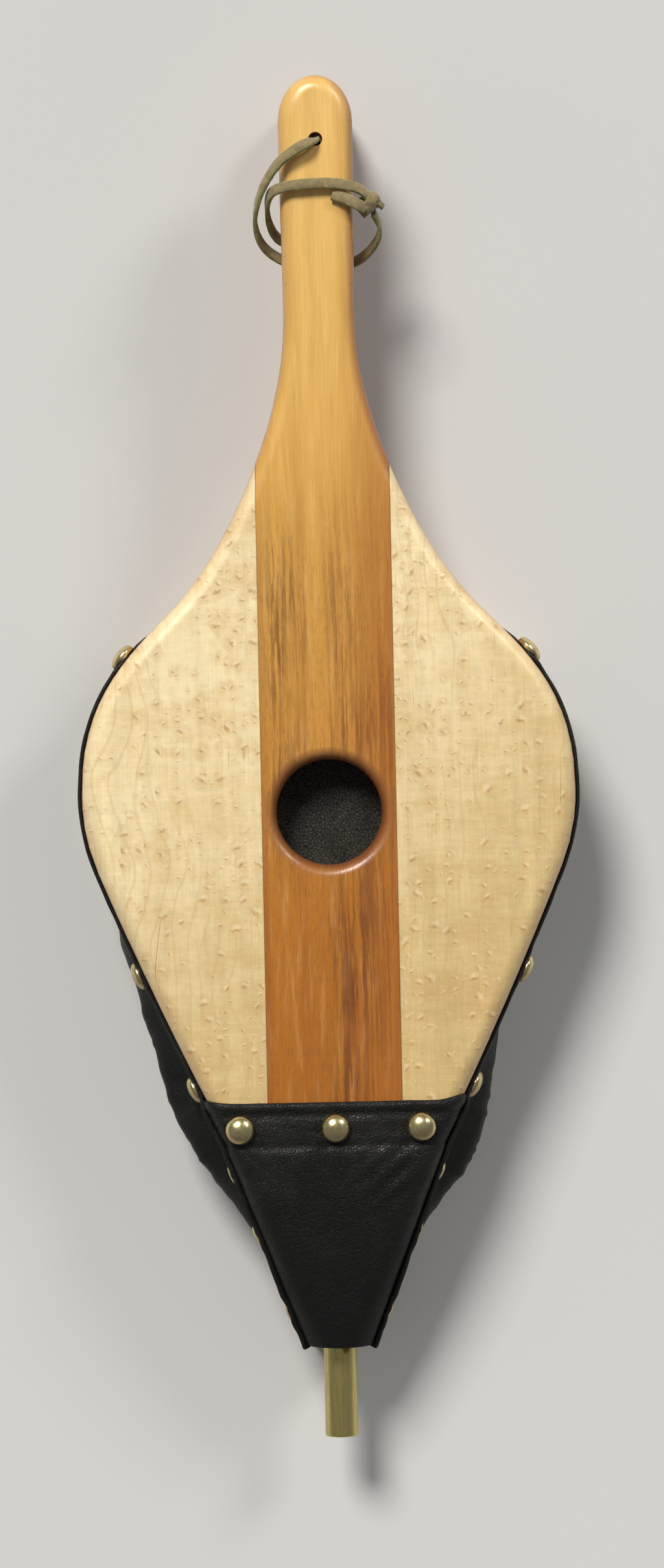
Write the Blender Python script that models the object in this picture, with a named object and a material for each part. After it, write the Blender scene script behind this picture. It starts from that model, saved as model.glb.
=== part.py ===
"""Hand bellows with a brass nozzle, lying on its back board.

X runs across the boards, +Y towards the handles and +Z out of the front board's face. The origin is under the
middle of the bellows, on the surface that its back board lies on. Sizes below are in millimetres.
"""

import math

import bmesh
import bpy
from mathutils import Matrix, Vector
from mathutils.geometry import interpolate_bezier

MM = 0.001
GAP = 0.3  # left between two pieces that touch

# Boards: 3/4 inch stock, a 2 inch centre strip between two wings, 1/4 inch roundovers.
BOARD_THICK = 19.0
STRIP_HALF = 25.4
EDGE_ROUND = 6.35
HANDLE_HALF = 14.1
HANDLE_SHOULDER_Y = 241.3
HANDLE_TIP_RISE = 17.7
WIDEST_END = (87.8, -41.8)  # where the taper starts
HINGE_Y = -145.0
HINGE_HALF = 40.3
TAPER_BOW = 1.2  # how far the taper's middle stands out of a straight line
TAPER_STEPS = 8
NOSE_Y = -223.3
NOSE_HALF = 10.5

# The edge from the handle down to the taper, as Bezier stretches and the steps in each.
EDGE_STRETCHES = (
    ((HANDLE_HALF, HANDLE_SHOULDER_Y), (14.1, 204.2), (13.5, 194.0), (13.5, 167.5), 6),
    ((13.5, 167.5), (13.5, 129.1), (35.3, 85.5), (50.5, 66.2), 14),
    ((50.5, 66.2), (65.3, 47.2), (93.4, 32.3), (93.4, -10.3), 16),
    ((93.4, -10.3), (93.4, -12.3), (94.6, -25.4), WIDEST_END, 5),
)

# Heights: the back board, the space for the valve, and the front board.
BACK_INNER_Z = BOARD_THICK
FRONT_INNER_Z = 2 * BOARD_THICK
FRONT_Z = 3 * BOARD_THICK

# Air inlet and its leather valve.
INLET_Y = -20.0
INLET_R = 20.0
INLET_ROUND = 4.7
FLAP_HALF = 30.0
FLAP_ROOT_Y = 10.0
FLAP_TIP_Y = -50.0
FLAP_THICK = 1.8
BATTEN_WIDE = 8.0
BATTEN_THICK = 3.5
VALVE_TACK_X = 20.0

# Nozzle block and tube: 1/2 inch brass tube with a 1 mm wall.
NOSE_TOP_Z = 44.0
NOSE_ROUND = 10.2
TUBE_R = 6.35
TUBE_BORE_R = 5.35
TUBE_Z = 29.0
TUBE_SEAT_Y = -175.0
TUBE_TIP_Y = -(HANDLE_SHOULDER_Y + HANDLE_TIP_RISE)

# Leather.
CAP_THICK = 1.7
CAP_TOP_Y = -129.5
GUSSET_THICK = 1.5
GUSSET_BACK_Z = 7.0
BULGE = 14.0
BULGE_Y = -137.0
BULGE_REACH = (30.0, 40.0)  # towards the nose, and towards the handles
SHOULDER_Y = 41.0
HEM_NEEDS = 25.0  # a lower strip than this, at the neck, has no tacked hems
NECK_PATH = ((70.6, 45.0), (67.0, 47.9), (61.0, 51.0), (52.0, 53.8), (40.0, 56.0), (22.0, 57.8), (0.0, 58.4))

# Tacks: 7/16 inch domed heads.
HEAD_R = 5.5
HEAD_RISE = 4.0
EDGE_HEAD_RISE = 2.8  # the tacks along the edges are driven deeper into the leather
SHANK_R = 0.9
SHANK_LONG = 9.0
FRONT_TACK_Y = -139.0
FRONT_TACK_X = {"left": -36.0, "middle": 0.0, "right": 32.4}
FRONT_EDGE_TACKS = (39.0, -80.0, -123.5)
BLOCK_EDGE_TACKS = (-155.5, -179.0, -209.5)
BACK_EDGE_TACKS = (39.0, -80.0, -123.5, -179.0)
BACK_TACK_Z = 13.0
SMALL_HEAD_R = 2.6  # the tacks that hold the valve's batten
SMALL_HEAD_RISE = 1.2
SMALL_SHANK_R = 0.7
SMALL_SHANK_LONG = 11.0

# Suede lace, through the hole in the front handle and once round that handle.
LACE_HOLE_Y = 234.0
LACE_HOLE_R = 2.7
LACE_R = 1.6
LACE_STEP = 4.2
KNOT = (19.9, 208.9, 54.0)
KNOT_RADII = (4.6, 4.4, 3.0)
LACE_ROUTE = (
    (16.6, 214.4, 58.2), (10.6, 216.2, 59.6), (3.0, 216.9, 59.8), (-5.0, 216.6, 59.8), (-11.5, 215.9, 59.2),
    (-16.2, 214.6, 56.8), (-18.4, 211.8, 52.6), (-18.7, 207.4, 46.6), (-17.5, 202.6, 40.6),
    (-14.4, 198.8, 36.0), (-9.0, 197.6, 33.6), (-3.6, 200.0, 32.8), (-0.6, 206.8, 32.6),
    (0.2, 216.0, 32.4), (0.4, 224.6, 32.3), (0.2, 230.6, 33.6), (0.0, 233.7, 38.4),
    (0.0, 234.0, 47.5), (-0.2, 233.7, 56.0), (-2.6, 232.2, 60.6), (-8.2, 229.2, 60.9),
    (-14.0, 224.8, 59.4), (-18.9, 218.4, 56.6), (-22.3, 211.2, 52.6), (-23.5, 204.4, 47.6),
    (-22.1, 198.4, 42.0), (-18.2, 193.8, 36.8), (-11.0, 190.2, 34.2), (0.0, 188.2, 33.6),
    (9.0, 188.4, 34.2), (15.4, 190.2, 37.0), (20.2, 193.6, 41.2), (23.3, 197.8, 45.6),
    (23.7, 201.6, 48.4), (22.9, 203.6, 49.6),
)


# ---------------------------------------------------------------------------------------- scene helpers
def clear_scene():
    for obj in list(bpy.data.objects):
        bpy.data.objects.remove(obj)


def material(name, colour, roughness, metallic=0.0):
    made = bpy.data.materials.new(name)
    made.use_nodes = True
    shader = made.node_tree.nodes["Principled BSDF"]
    shader.inputs["Base Color"].default_value = (*colour, 1.0)
    shader.inputs["Roughness"].default_value = roughness
    shader.inputs["Metallic"].default_value = metallic
    made.diffuse_color = (*colour, 1.0)
    return made


def empty(name, place):
    made = bpy.data.objects.new(name, None)
    made.location = Vector(place) * MM
    bpy.context.scene.collection.objects.link(made)
    return made


def piece(name, bm, finish, hinge=None):
    """An object from a bmesh in millimetres. Its origin is on its hinge, where it has one."""
    bmesh.ops.recalc_face_normals(bm, faces=bm.faces)
    bm.transform(Matrix.Scale(MM, 4))
    if hinge:
        bm.transform(Matrix.Translation(-hinge.location))
    mesh = bpy.data.meshes.new(name)
    bm.to_mesh(mesh)
    bm.free()
    mesh.shade_smooth()
    mesh.set_sharp_from_angle(angle=math.radians(38))
    obj = bpy.data.objects.new(name, mesh)
    bpy.context.scene.collection.objects.link(obj)
    if finish:
        mesh.materials.append(finish)
    obj.parent = hinge
    return obj


def cutter(name, bm):
    obj = piece(name, bm, None)
    obj.hide_render = True
    obj.display_type = "WIRE"
    return obj


def cut(obj, tool):
    modifier = obj.modifiers.new(tool.name, "BOOLEAN")
    modifier.object = tool
    modifier.operation = "DIFFERENCE"
    modifier.solver = "EXACT"


def loft(rings, bm=None):
    """Adds a closed solid through rings of equally many points, each a list of (x, y, z)."""
    bm = bm or bmesh.new()
    rows = [[bm.verts.new(p) for p in ring] for ring in rings]
    count = len(rows[0])
    for low, high in zip(rows, rows[1:]):
        for i in range(count):
            j = (i + 1) % count
            bm.faces.new((low[i], low[j], high[j], high[i]))
    bm.faces.new(rows[0])
    bm.faces.new(rows[-1])
    return bm


def lathe(profile, sides, bm=None, turn=None, hollow=False):
    """Adds a solid turned about Z from (radius, z) pairs. A radius of 0 closes it to a point.

    A hollow one is a ring, whose profile is closed.
    """
    bm = bm or bmesh.new()
    turn = turn or Matrix.Identity(4)
    rows = []
    for radius, z in profile:
        if radius == 0:
            rows.append([bm.verts.new(turn @ Vector((0, 0, z)))])
            continue
        angles = [math.tau * (i + 0.5) / sides for i in range(sides)]
        row = [Vector((radius * math.cos(a), radius * math.sin(a), z)) for a in angles]
        rows.append([bm.verts.new(turn @ p) for p in row])
    if hollow:
        rows.append(rows[0])
    for low, high in zip(rows, rows[1:]):
        for i in range(sides):
            j = (i + 1) % sides
            around = (low[i % len(low)], low[j % len(low)], high[j % len(high)], high[i % len(high)])
            bm.faces.new(list(dict.fromkeys(around)))
    for row in (rows[0], rows[-1]):
        if len(row) > 1 and not hollow:
            bm.faces.new(row)
    return bm


def slab(corners, low_z, high_z):
    return loft([[(x, y, z) for x, y in corners] for z in (low_z, high_z)])


def facing(place, outward):
    """The transform that sets a turned piece at a place, with its +Z along outward."""
    turned = Vector(outward).to_track_quat("Z", "Y").to_matrix().to_4x4()
    return Matrix.Translation(place) @ turned


# ---------------------------------------------------------------------------------------- outline
def mixed(a, b, share):
    return a + (b - a) * share


def half_width(y):
    """The boards' half width on the slightly bowed taper and beside the nozzle block."""
    if y > HINGE_Y:
        share = (y - HINGE_Y) / (WIDEST_END[1] - HINGE_Y)
        return mixed(HINGE_HALF, WIDEST_END[0], share) + 4 * TAPER_BOW * share * (1 - share)
    return mixed(HINGE_HALF, NOSE_HALF, (HINGE_Y - y) / (HINGE_Y - NOSE_Y))


def right_edge(end_y):
    """The right half of the outline, from the handle's tip to end_y, as flat vectors."""
    edge = []
    tip_steps = 9
    for i in range(tip_steps):
        a = math.pi / 2 * i / tip_steps
        rise = HANDLE_TIP_RISE * math.cos(a)
        edge.append(Vector((HANDLE_HALF * math.sin(a), HANDLE_SHOULDER_Y + rise)))
    for start, out, back, end, steps in EDGE_STRETCHES:
        corners = [Vector((*p, 0.0)) for p in (start, out, back, end)]
        edge += [p.to_2d() for p in interpolate_bezier(*corners, steps + 1)[:-1]]
    for i in range(TAPER_STEPS):
        y = mixed(WIDEST_END[1], HINGE_Y, i / TAPER_STEPS)
        if y > end_y + 1:
            edge.append(Vector((half_width(y), y)))
    if end_y < HINGE_Y:
        edge.append(Vector((HINGE_HALF, HINGE_Y)))
    edge.append(Vector((half_width(end_y), end_y)))
    return edge


def normals(line):
    """The outward normal at each point of a right-hand edge that runs towards -Y."""
    found = []
    for i in range(len(line)):
        along = line[min(i + 1, len(line) - 1)] - line[max(i - 1, 0)]
        found.append(Vector((-along.y, along.x)).normalized())
    return found


def offset_edge(edge, distance):
    """The edge moved outwards. Its first point stays on the centre line, and its last on the straight end."""
    moved = [p + n * distance for p, n in zip(edge, normals(edge))]
    moved[0] = edge[0] + Vector((0, distance))
    along = (edge[-1] - edge[-2]).normalized()
    moved[-1] = edge[-1] + Vector((distance / -along.y, 0))
    return moved


def both_sides(edge, z):
    """A closed ring from a right-hand edge whose first point is on the centre line."""
    right = [(p.x, p.y, z) for p in edge]
    left = [(-p.x, p.y, z) for p in reversed(edge[1:])]
    return right + left


# ---------------------------------------------------------------------------------------- boards
def board(end_y, square_z, face_z):
    """A whole board. The edge round its outer face, at face_z, is rounded over."""
    edge = right_edge(end_y)
    outwards = 1 if face_z > square_z else -1
    rings = [both_sides(edge, square_z)]
    steps = 4
    for i in range(steps + 1):
        a = math.pi / 2 * i / steps
        inset = EDGE_ROUND * (1 - math.cos(a))
        z = face_z - outwards * EDGE_ROUND * (1 - math.sin(a))
        rings.append(both_sides(offset_edge(edge, -inset), z))
    return loft(rings)


def sawn(bm, low_x, high_x):
    """The part of a board between two lengthwise saw cuts. None means the board's own edge."""
    for x, side in ((low_x, -1), (high_x, 1)):
        if x is None:
            continue
        parts = bm.verts[:] + bm.edges[:] + bm.faces[:]
        bmesh.ops.bisect_plane(bm, geom=parts, plane_co=(x, 0, 0), plane_no=(side, 0, 0), clear_outer=True)
        rim = [e for e in bm.edges if e.is_boundary]
        bmesh.ops.holes_fill(bm, edges=rim, sides=0)
    return bm


def board_pieces(prefix, whole, strip_finish, wing_finish, hinge=None):
    glue = GAP / 2
    strip = sawn(whole.copy(), glue - STRIP_HALF, STRIP_HALF - glue)
    left = sawn(whole.copy(), None, -STRIP_HALF - glue)
    right = sawn(whole.copy(), STRIP_HALF + glue, None)
    whole.free()
    return {
        "strip": piece(f"{prefix}_centre_strip", strip, strip_finish, hinge),
        "left": piece(f"{prefix}_wing_left", left, wing_finish, hinge),
        "right": piece(f"{prefix}_wing_right", right, wing_finish, hinge),
    }


def inlet_cutter():
    """The air hole, flared by the roundover at the front face."""
    profile = [(INLET_R, FRONT_INNER_Z - 2), (INLET_R, FRONT_Z - INLET_ROUND)]
    steps = 4
    for i in range(1, steps + 1):
        a = math.pi / 2 * i / steps
        flare = INLET_ROUND * (1 - math.cos(a))
        profile.append((INLET_R + flare, FRONT_Z - INLET_ROUND * (1 - math.sin(a))))
    profile.append((INLET_R + INLET_ROUND, FRONT_Z + 2))
    return cutter("inlet_cutter", lathe(profile, 48, turn=Matrix.Translation((0, INLET_Y, 0))))


def lace_hole_cutter():
    profile = ((LACE_HOLE_R, FRONT_INNER_Z - 2), (LACE_HOLE_R, FRONT_Z + 2))
    return cutter("lace_hole_cutter", lathe(profile, 16, turn=Matrix.Translation((0, LACE_HOLE_Y, 0))))


# ---------------------------------------------------------------------------------------- nozzle
def block_shape(y):
    """Half width, top height and edge radius of the block at y, or of the front board above the hinge."""
    share = max(0.0, (HINGE_Y - y) / (HINGE_Y - NOSE_Y))
    top = FRONT_Z - (FRONT_Z - NOSE_TOP_Z) * share**1.6
    return half_width(y), top, mixed(EDGE_ROUND, NOSE_ROUND, share)


def crown(y, out):
    """The front surface's section at y, from left to right, moved out by a distance, as (x, y, z)."""
    half, top, radius = block_shape(y)
    steps = 5
    right = []
    for i in range(steps + 1):
        a = math.pi / 2 * i / steps
        across, up = (radius + out) * math.sin(a), (radius + out) * math.cos(a)
        right.append((half - radius + across, y, top - radius + up))
    left = [(-x, y, z) for x, y, z in reversed(right)]
    return left + right


def nozzle_block(finish):
    rings = []
    steps = 12
    for i in range(steps + 1):
        y = mixed(HINGE_Y - GAP, NOSE_Y, i / steps)
        half = block_shape(y)[0]
        foot = BACK_INNER_Z + GAP
        rings.append([(-half, y, foot), *crown(y, 0.0), (half, y, foot)])
    return piece("nozzle_block", loft(rings), finish)


def along_tube(y):
    """Turns a lathe's Z to run along -Y from y on the tube's axis."""
    return facing((0, y, TUBE_Z), (0, -1, 0))


def bore_cutter():
    """The tube's seat and the smaller air way behind it."""
    seat = NOSE_Y - TUBE_SEAT_Y
    way = HINGE_Y - TUBE_SEAT_Y
    profile = (
        (TUBE_BORE_R, -way - 3),
        (TUBE_BORE_R, 0),
        (TUBE_R + GAP, 0.01),
        (TUBE_R + GAP, -seat + 3),
    )
    return cutter("bore_cutter", lathe(profile, 32, turn=along_tube(TUBE_SEAT_Y)))


def nozzle_tube(finish):
    """A plain tube with its tip's edges broken."""
    long = TUBE_SEAT_Y - GAP - TUBE_TIP_Y
    broken = 0.35
    wall = (
        (TUBE_R, 0), (TUBE_R, long - broken), (TUBE_R - broken, long),
        (TUBE_BORE_R + broken, long), (TUBE_BORE_R, long - broken), (TUBE_BORE_R, 0),
    )
    return piece("nozzle_tube", lathe(wall, 32, turn=along_tube(TUBE_SEAT_Y - GAP), hollow=True), finish)


# ---------------------------------------------------------------------------------------- leather
def leather_cap(finish):
    """The leather over the nozzle block and the end of the front board, which is also the boards' hinge."""
    steps = 16
    rings = []
    for i in range(steps + 1):
        y = mixed(CAP_TOP_Y, NOSE_Y, i / steps)
        rings.append(crown(y, GAP + CAP_THICK) + crown(y, GAP)[::-1])
    return piece("leather_cap", loft(rings), finish)


def bulge_at(y):
    """How far the folded gusset stands out beside the hinge."""
    reach = BULGE_REACH[0] if y < BULGE_Y else BULGE_REACH[1]
    return BULGE * math.exp(-(((y - BULGE_Y) / reach) ** 2))


def gusset_stations():
    """The gusset's inner line from the nose up the right side to the middle of the neck.

    Each station is a flat point, its outward normal, its lowest and highest z, and its bulge.
    """
    taper_steps = 22
    taper = [mixed(NOSE_Y, WIDEST_END[1], i / taper_steps) for i in range(taper_steps + 1)]
    side = [Vector((half_width(y), y)) for y in taper]
    side += [p for p in reversed(right_edge(NOSE_Y)) if WIDEST_END[1] + 1 < p.y < SHOULDER_Y]
    outwards = [-n for n in normals(side)]
    line = [p + n * GAP for p, n in zip(side, outwards)]
    neck = [Vector(p) for p in NECK_PATH]
    outwards = [-n for n in normals(line + neck)]
    outwards[-1] = Vector((0, 1))
    between = (BACK_INNER_Z + GAP, FRONT_INNER_Z - GAP)
    stations = []
    for i, point in enumerate(line + neck):
        if i < len(line):
            _, top, radius = block_shape(point.y)
            stations.append((point, outwards[i], GUSSET_BACK_Z, top - radius - 2 * GAP, bulge_at(point.y)))
        else:
            stations.append((point, outwards[i], *between, 0.0))
    return stations


def gusset_ring(station, side):
    """The gusset's cross-section at a station, mirrored for side -1. It bulges between its tacked hems."""
    point, out, low, high, bulge = station
    hem = 2 * HEAD_R + 1.0 if high - low > HEM_NEEDS else (high - low) / 4
    steps = 5
    heights = [(low, 0.0)]
    for i in range(steps + 1):
        share = i / steps
        heights.append((mixed(low + hem, high - hem, share), math.sin(math.pi * share) ** 2))
    heights.append((high, 0.0))
    inner, outer = [], []
    for z, stand in heights:
        for line, distance in ((inner, bulge * stand), (outer, bulge * stand + GUSSET_THICK)):
            p = point + out * distance
            line.append((side * p.x, p.y, z))
    return inner + outer[::-1]


def leather_gusset(finish):
    """One strip round the edges of both boards, from one side of the nose to the other, across the necks."""
    stations = gusset_stations()
    rings = [gusset_ring(s, 1) for s in stations]
    rings += [gusset_ring(s, -1) for s in reversed(stations[:-1])]
    return piece("leather_gusset", loft(rings), finish)


def valve_flap(finish, hinge):
    """The leather flap that closes the air hole from inside, from its bend line to its free end."""
    corner = 8.0
    steps = 4
    edge = [(FLAP_HALF, FLAP_ROOT_Y)]
    for i in range(steps + 1):
        a = math.pi / 2 * i / steps
        edge.append((FLAP_HALF - corner * (1 - math.cos(a)), FLAP_TIP_Y + corner * (1 - math.sin(a))))
    edge += [(-x, y) for x, y in reversed(edge)]
    top = FRONT_INNER_Z - GAP
    return piece("valve_flap", slab(edge, top - FLAP_THICK, top), finish, hinge)


def valve_batten(finish, hinge):
    low_y = FLAP_ROOT_Y + 2 * GAP
    top = FRONT_INNER_Z - GAP
    high_y = low_y + BATTEN_WIDE
    corners = ((-FLAP_HALF, low_y), (FLAP_HALF, low_y), (FLAP_HALF, high_y), (-FLAP_HALF, high_y))
    return piece("valve_batten", slab(corners, top - BATTEN_THICK, top), finish, hinge)


# ---------------------------------------------------------------------------------------- tacks
def tack_profile(head_r, rise, shank_r, shank_long):
    """Dome, flat underside and pointed shank, as (radius, z) with the underside at 0."""
    profile = [(0, -shank_long), (shank_r, 2 * shank_r - shank_long), (shank_r, 0)]
    steps = 4
    for i in range(steps):
        a = math.pi / 2 * i / steps
        profile.append((head_r * math.cos(a), rise * math.sin(a)))
    return profile + [(0, rise)]


class TackRow:
    """Tacks of one size, and the clearance holes for their shanks."""

    def __init__(self, finish, head_r, rise, shank_r, shank_long):
        self.finish = finish
        self.shank_r = shank_r
        self.shank_long = shank_long
        self.profile = tack_profile(head_r, rise, shank_r, shank_long)

    def add(self, name, place, outward, holes, hinge=None):
        turn = facing(place, outward)
        hole_r = self.shank_r + GAP
        lathe(((hole_r, -self.shank_long - 2 * GAP), (hole_r, 2 * GAP)), 8, bm=holes, turn=turn)
        return piece(name, lathe(self.profile, 12, turn=turn), self.finish, hinge)


def edge_place(y, z):
    """A tack's place on the gusset's outer face at the right-hand edge, and the way that it faces."""
    edge = [p for p in right_edge(NOSE_Y) if p.y < SHOULDER_Y + 20]
    found = normals(edge)
    for i in range(len(edge) - 1):
        above, below = edge[i], edge[i + 1]
        if below.y <= y <= above.y:
            share = (y - above.y) / (below.y - above.y)
            along = (below - above).normalized()
            out = Vector((-along.y, along.x))
            if y > WIDEST_END[1]:
                out = found[i].lerp(found[i + 1], share).normalized()
            point = above.lerp(below, share) + out * (2 * GAP + GUSSET_THICK)
            return Vector((point.x, point.y, z)), Vector((out.x, out.y, 0))
    raise ValueError("no edge at this y")


def mirrored(v):
    return Vector((-v.x, v.y, v.z))


def edge_tacks(row, label, places, holes, hinge=None):
    """A pair of tacks, right and left, for each (y, z)."""
    for number, (y, z) in enumerate(places, 1):
        place, out = edge_place(y, z)
        row.add(f"tack_{label}_right_{number}", place, out, holes, hinge)
        row.add(f"tack_{label}_left_{number}", mirrored(place), mirrored(out), holes, hinge)


# ---------------------------------------------------------------------------------------- lace
def smooth_line(points, step):
    """Points a step apart on a smooth curve (Catmull-Rom) through the given ones."""
    route = [Vector(p) for p in points]
    route = [2 * route[0] - route[1], *route, 2 * route[-1] - route[-2]]
    fine = []
    parts = 12
    for a, b, c, d in zip(route, route[1:], route[2:], route[3:]):
        for i in range(parts):
            t = i / parts
            fine.append(0.5 * (2 * b + (c - a) * t + (2 * a - 5 * b + 4 * c - d) * t**2
                               + (3 * b - a - 3 * c + d) * t**3))
    fine.append(route[-2])
    lengths = [0.0]
    for a, b in zip(fine, fine[1:]):
        lengths.append(lengths[-1] + (b - a).length)
    count = round(lengths[-1] / step)
    line, k = [], 0
    for i in range(count + 1):
        wanted = lengths[-1] * i / count
        while k < len(fine) - 2 and lengths[k + 1] < wanted:
            k += 1
        share = (wanted - lengths[k]) / (lengths[k + 1] - lengths[k])
        line.append(fine[k].lerp(fine[k + 1], share))
    return line


def lace(finish, hinge):
    data = bpy.data.curves.new("lace", "CURVE")
    data.dimensions = "3D"
    data.bevel_depth = LACE_R * MM
    data.bevel_resolution = 2
    data.use_fill_caps = True
    points = smooth_line(LACE_ROUTE, LACE_STEP)
    spline = data.splines.new("POLY")
    spline.points.add(len(points) - 1)
    for knot, p in zip(spline.points, points):
        knot.co = (*(p * MM - hinge.location), 1.0)
    data.materials.append(finish)
    obj = bpy.data.objects.new("lace", data)
    obj.parent = hinge
    bpy.context.scene.collection.objects.link(obj)
    return obj


def lace_knot(finish, hinge):
    """The overhand knot beside the handle, as one rounded lump."""
    bm = bmesh.new()
    bmesh.ops.create_icosphere(bm, subdivisions=2, radius=1.0)
    bm.transform(Matrix.Translation(KNOT) @ Matrix.Diagonal((*KNOT_RADII, 1.0)))
    return piece("lace_knot", bm, finish, hinge)


# ---------------------------------------------------------------------------------------- the bellows
def main():
    clear_scene()
    strip_wood = material("strip_wood", (0.52, 0.27, 0.10), 0.38)
    wing_maple = material("wing_maple", (0.78, 0.62, 0.38), 0.40)
    block_wood = material("block_wood", (0.60, 0.42, 0.22), 0.60)
    black_leather = material("black_leather", (0.018, 0.018, 0.017), 0.48)
    bright_brass = material("bright_brass", (0.78, 0.66, 0.36), 0.22, 1.0)
    aged_brass = material("aged_brass", (0.46, 0.38, 0.20), 0.36, 1.0)
    suede = material("suede", (0.22, 0.17, 0.08), 0.85)

    board_hinge = empty("board_hinge", (0, HINGE_Y, FRONT_Z))
    flap_hinge = empty("flap_hinge", (0, FLAP_ROOT_Y, FRONT_INNER_Z - GAP - FLAP_THICK / 2))

    front_end_y = HINGE_Y + GAP
    front_board = board(front_end_y, FRONT_INNER_Z, FRONT_Z)
    back_board = board(NOSE_Y, BACK_INNER_Z, 0.0)
    front = board_pieces("front", front_board, strip_wood, wing_maple, board_hinge)
    back = board_pieces("back", back_board, strip_wood, wing_maple)
    cut(front["strip"], inlet_cutter())
    cut(front["strip"], lace_hole_cutter())

    block = nozzle_block(block_wood)
    cut(block, bore_cutter())
    nozzle_tube(aged_brass)

    cap = leather_cap(black_leather)
    gusset = leather_gusset(black_leather)
    valve_flap(black_leather, flap_hinge)
    batten = valve_batten(block_wood, board_hinge)

    domed = TackRow(bright_brass, HEAD_R, HEAD_RISE, SHANK_R, SHANK_LONG)
    cap_holes = bmesh.new()
    for label, x in FRONT_TACK_X.items():
        place = (x, FRONT_TACK_Y, FRONT_Z + CAP_THICK + 2 * GAP)
        domed.add(f"tack_cap_{label}", place, (0, 0, 1), cap_holes, board_hinge)
    low = TackRow(bright_brass, HEAD_R, EDGE_HEAD_RISE, SHANK_R, SHANK_LONG)
    front_holes, block_holes, back_holes = bmesh.new(), bmesh.new(), bmesh.new()
    middle_z = (FRONT_INNER_Z + FRONT_Z - EDGE_ROUND) / 2
    edge_tacks(low, "front", [(y, middle_z) for y in FRONT_EDGE_TACKS], front_holes, board_hinge)
    on_block = [(y, block_shape(y)[1] - block_shape(y)[2] - HEAD_R) for y in BLOCK_EDGE_TACKS]
    edge_tacks(low, "block", on_block, block_holes)
    edge_tacks(low, "back", [(y, BACK_TACK_Z) for y in BACK_EDGE_TACKS], back_holes)

    small = TackRow(bright_brass, SMALL_HEAD_R, SMALL_HEAD_RISE, SMALL_SHANK_R, SMALL_SHANK_LONG)
    valve_holes = bmesh.new()
    batten_y = FLAP_ROOT_Y + 2 * GAP + BATTEN_WIDE / 2
    for label, x in (("left", -VALVE_TACK_X), ("right", VALVE_TACK_X)):
        place = (x, batten_y, FRONT_INNER_Z - 2 * GAP - BATTEN_THICK)
        small.add(f"tack_valve_{label}", place, (0, 0, -1), valve_holes, board_hinge)

    cap_cutter = cutter("cap_hole_cutter", cap_holes)
    front_cutter = cutter("front_hole_cutter", front_holes)
    block_cutter = cutter("block_hole_cutter", block_holes)
    back_cutter = cutter("back_hole_cutter", back_holes)
    valve_cutter = cutter("valve_hole_cutter", valve_holes)
    for obj in (cap, front["strip"], front["left"], front["right"]):
        cut(obj, cap_cutter)
    for obj in (gusset, front["left"], front["right"]):
        cut(obj, front_cutter)
    for obj in (gusset, block):
        cut(obj, block_cutter)
    for obj in (gusset, back["strip"], back["left"], back["right"]):
        cut(obj, back_cutter)
    for obj in (batten, front["strip"]):
        cut(obj, valve_cutter)

    lace(suede, board_hinge)
    lace_knot(suede, board_hinge)


main()
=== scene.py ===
"""Hand bellows on a pale floor: birdseye maple and red-brown boards, black leather, brass tacks and tube.

X runs across the boards, +Y towards the handles and +Z out of the front board's face. Lengths here are in
millimetres until a mesh is made. The object is lit from the upper left and, less, from the upper right.
"""

import math

import bmesh
import bpy
import numpy as np
from mathutils import Matrix, Vector, noise
from mathutils.kdtree import KDTree


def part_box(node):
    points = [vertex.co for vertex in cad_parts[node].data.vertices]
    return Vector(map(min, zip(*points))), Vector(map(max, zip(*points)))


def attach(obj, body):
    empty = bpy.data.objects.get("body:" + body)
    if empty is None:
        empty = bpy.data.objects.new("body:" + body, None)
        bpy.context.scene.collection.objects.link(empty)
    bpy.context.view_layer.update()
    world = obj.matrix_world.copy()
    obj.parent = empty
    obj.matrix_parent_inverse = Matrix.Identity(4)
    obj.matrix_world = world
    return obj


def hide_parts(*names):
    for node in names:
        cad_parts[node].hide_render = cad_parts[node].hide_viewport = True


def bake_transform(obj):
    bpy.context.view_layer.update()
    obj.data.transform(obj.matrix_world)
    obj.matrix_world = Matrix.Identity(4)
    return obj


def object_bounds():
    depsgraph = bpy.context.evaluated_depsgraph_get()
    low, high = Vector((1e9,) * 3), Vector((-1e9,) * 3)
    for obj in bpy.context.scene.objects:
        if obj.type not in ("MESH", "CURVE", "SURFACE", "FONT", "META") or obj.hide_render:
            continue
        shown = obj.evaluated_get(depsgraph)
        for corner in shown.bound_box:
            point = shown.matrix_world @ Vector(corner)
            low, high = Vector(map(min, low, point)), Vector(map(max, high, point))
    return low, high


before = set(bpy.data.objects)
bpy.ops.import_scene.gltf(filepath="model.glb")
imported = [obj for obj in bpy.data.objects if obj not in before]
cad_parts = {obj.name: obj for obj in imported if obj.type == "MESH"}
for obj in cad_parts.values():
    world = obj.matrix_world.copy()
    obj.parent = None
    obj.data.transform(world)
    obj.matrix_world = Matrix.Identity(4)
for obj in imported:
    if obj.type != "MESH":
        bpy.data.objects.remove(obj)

MM = 0.001
LOW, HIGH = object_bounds()

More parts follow.
